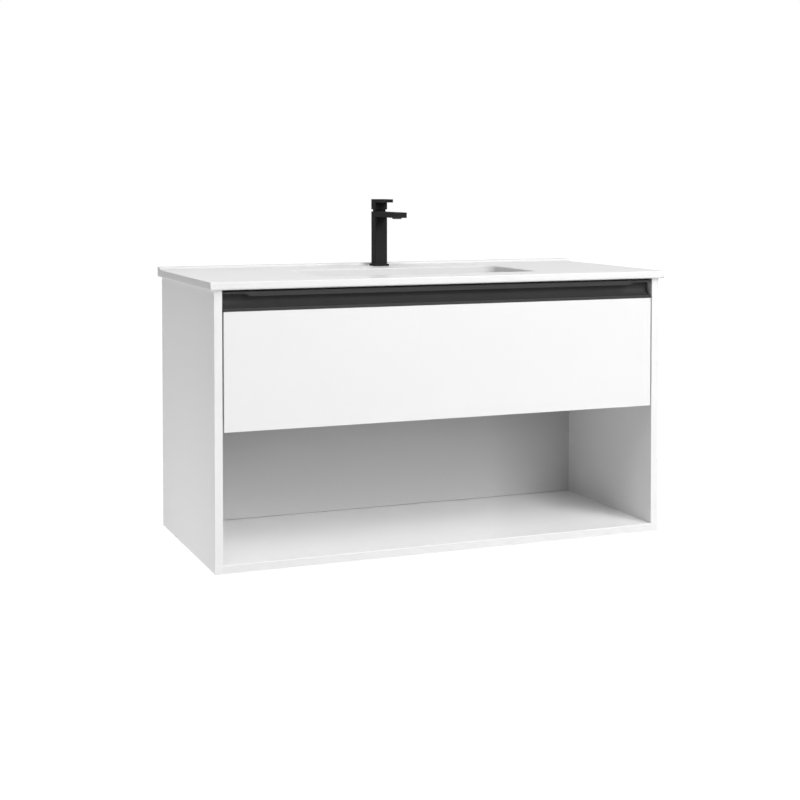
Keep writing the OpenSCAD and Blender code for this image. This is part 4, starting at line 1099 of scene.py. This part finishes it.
def build_room():
    """A world that is white to camera, mirror and glass rays, and a plain grey to the rest."""
    world = bpy.data.worlds.new("studio_room")
    world.use_nodes = True
    tree = world.node_tree
    back = next(n for n in tree.nodes if n.type == "BACKGROUND")
    back.inputs["Color"].default_value = (1, 1, 1, 1)
    path, seen = seen_ray(tree)
    seen = math_node(tree, "MAXIMUM", seen, path.outputs["Is Transmission Ray"])
    strength = add(tree, "ShaderNodeMix", data_type="FLOAT")
    strength.inputs["A"].default_value = ROOM_LIGHT
    strength.inputs["B"].default_value = 1.0
    tree.links.new(seen, strength.inputs["Factor"])
    tree.links.new(strength.outputs["Result"], back.inputs["Strength"])
    bpy.context.scene.world = world


build_room()
print("room light", ROOM_LIGHT)

# %% [markdown]
# A wide soft lamp and two smaller ones stand in front, a little to the right, at heights
# that light the niche's floor and leave its back in shade. Others fill the left, the right
# and the rear, and a small one by the floor lifts the foot of the left side, hidden from
# polished surfaces.

# %% Lamps
LAMP_AWAY = 5.0
LAMP_CENTRE = Vector((0.0, -0.4, -0.1))
LAMP_AIM = (0.0, -0.3, -0.2)


def lamp(name, place, aim, size, power):
    """A soft square area lamp at a place, turned to a point."""
    light = bpy.data.lights.new(name, "AREA")
    light.size = size
    light.energy = power
    holder = bpy.data.objects.new(name, light)
    holder.location = place
    holder.rotation_euler = (Vector(aim) - Vector(place)).to_track_quat("-Z", "Y").to_euler()
    bpy.context.scene.collection.objects.link(holder)
    return holder


def lamp_around(name, turn, rise, size, power):
    """A lamp on a sphere: turn goes from the front to the right, rise from the level up."""
    turn, rise = math.radians(turn), math.radians(rise)
    way = (math.sin(turn) * math.cos(rise), -math.cos(turn) * math.cos(rise), math.sin(rise))
    return lamp(name, LAMP_CENTRE + LAMP_AWAY * Vector(way), LAMP_AIM, size, power)


lamp_around("key_low", turn=25, rise=30, size=1.3, power=45.5)
lamp_around("key_high", turn=35, rise=40, size=1.3, power=76)
lamp_around("front_fill", turn=20, rise=22, size=2.4, power=94)
lamp_around("left_fill", turn=-35, rise=58, size=2.4, power=80)
lamp_around("right_fill", turn=100, rise=22, size=2.4, power=19.5)
lamp_around("rear_fill", turn=180, rise=40, size=2.4, power=70)
foot_lamp = lamp("left_foot", (-1.1, -0.25, -0.78), aim=(-0.48, -0.25, -0.48), size=0.5, power=3.2)
foot_lamp.visible_glossy = False
bpy.context.scene.view_settings.view_transform = "Standard"
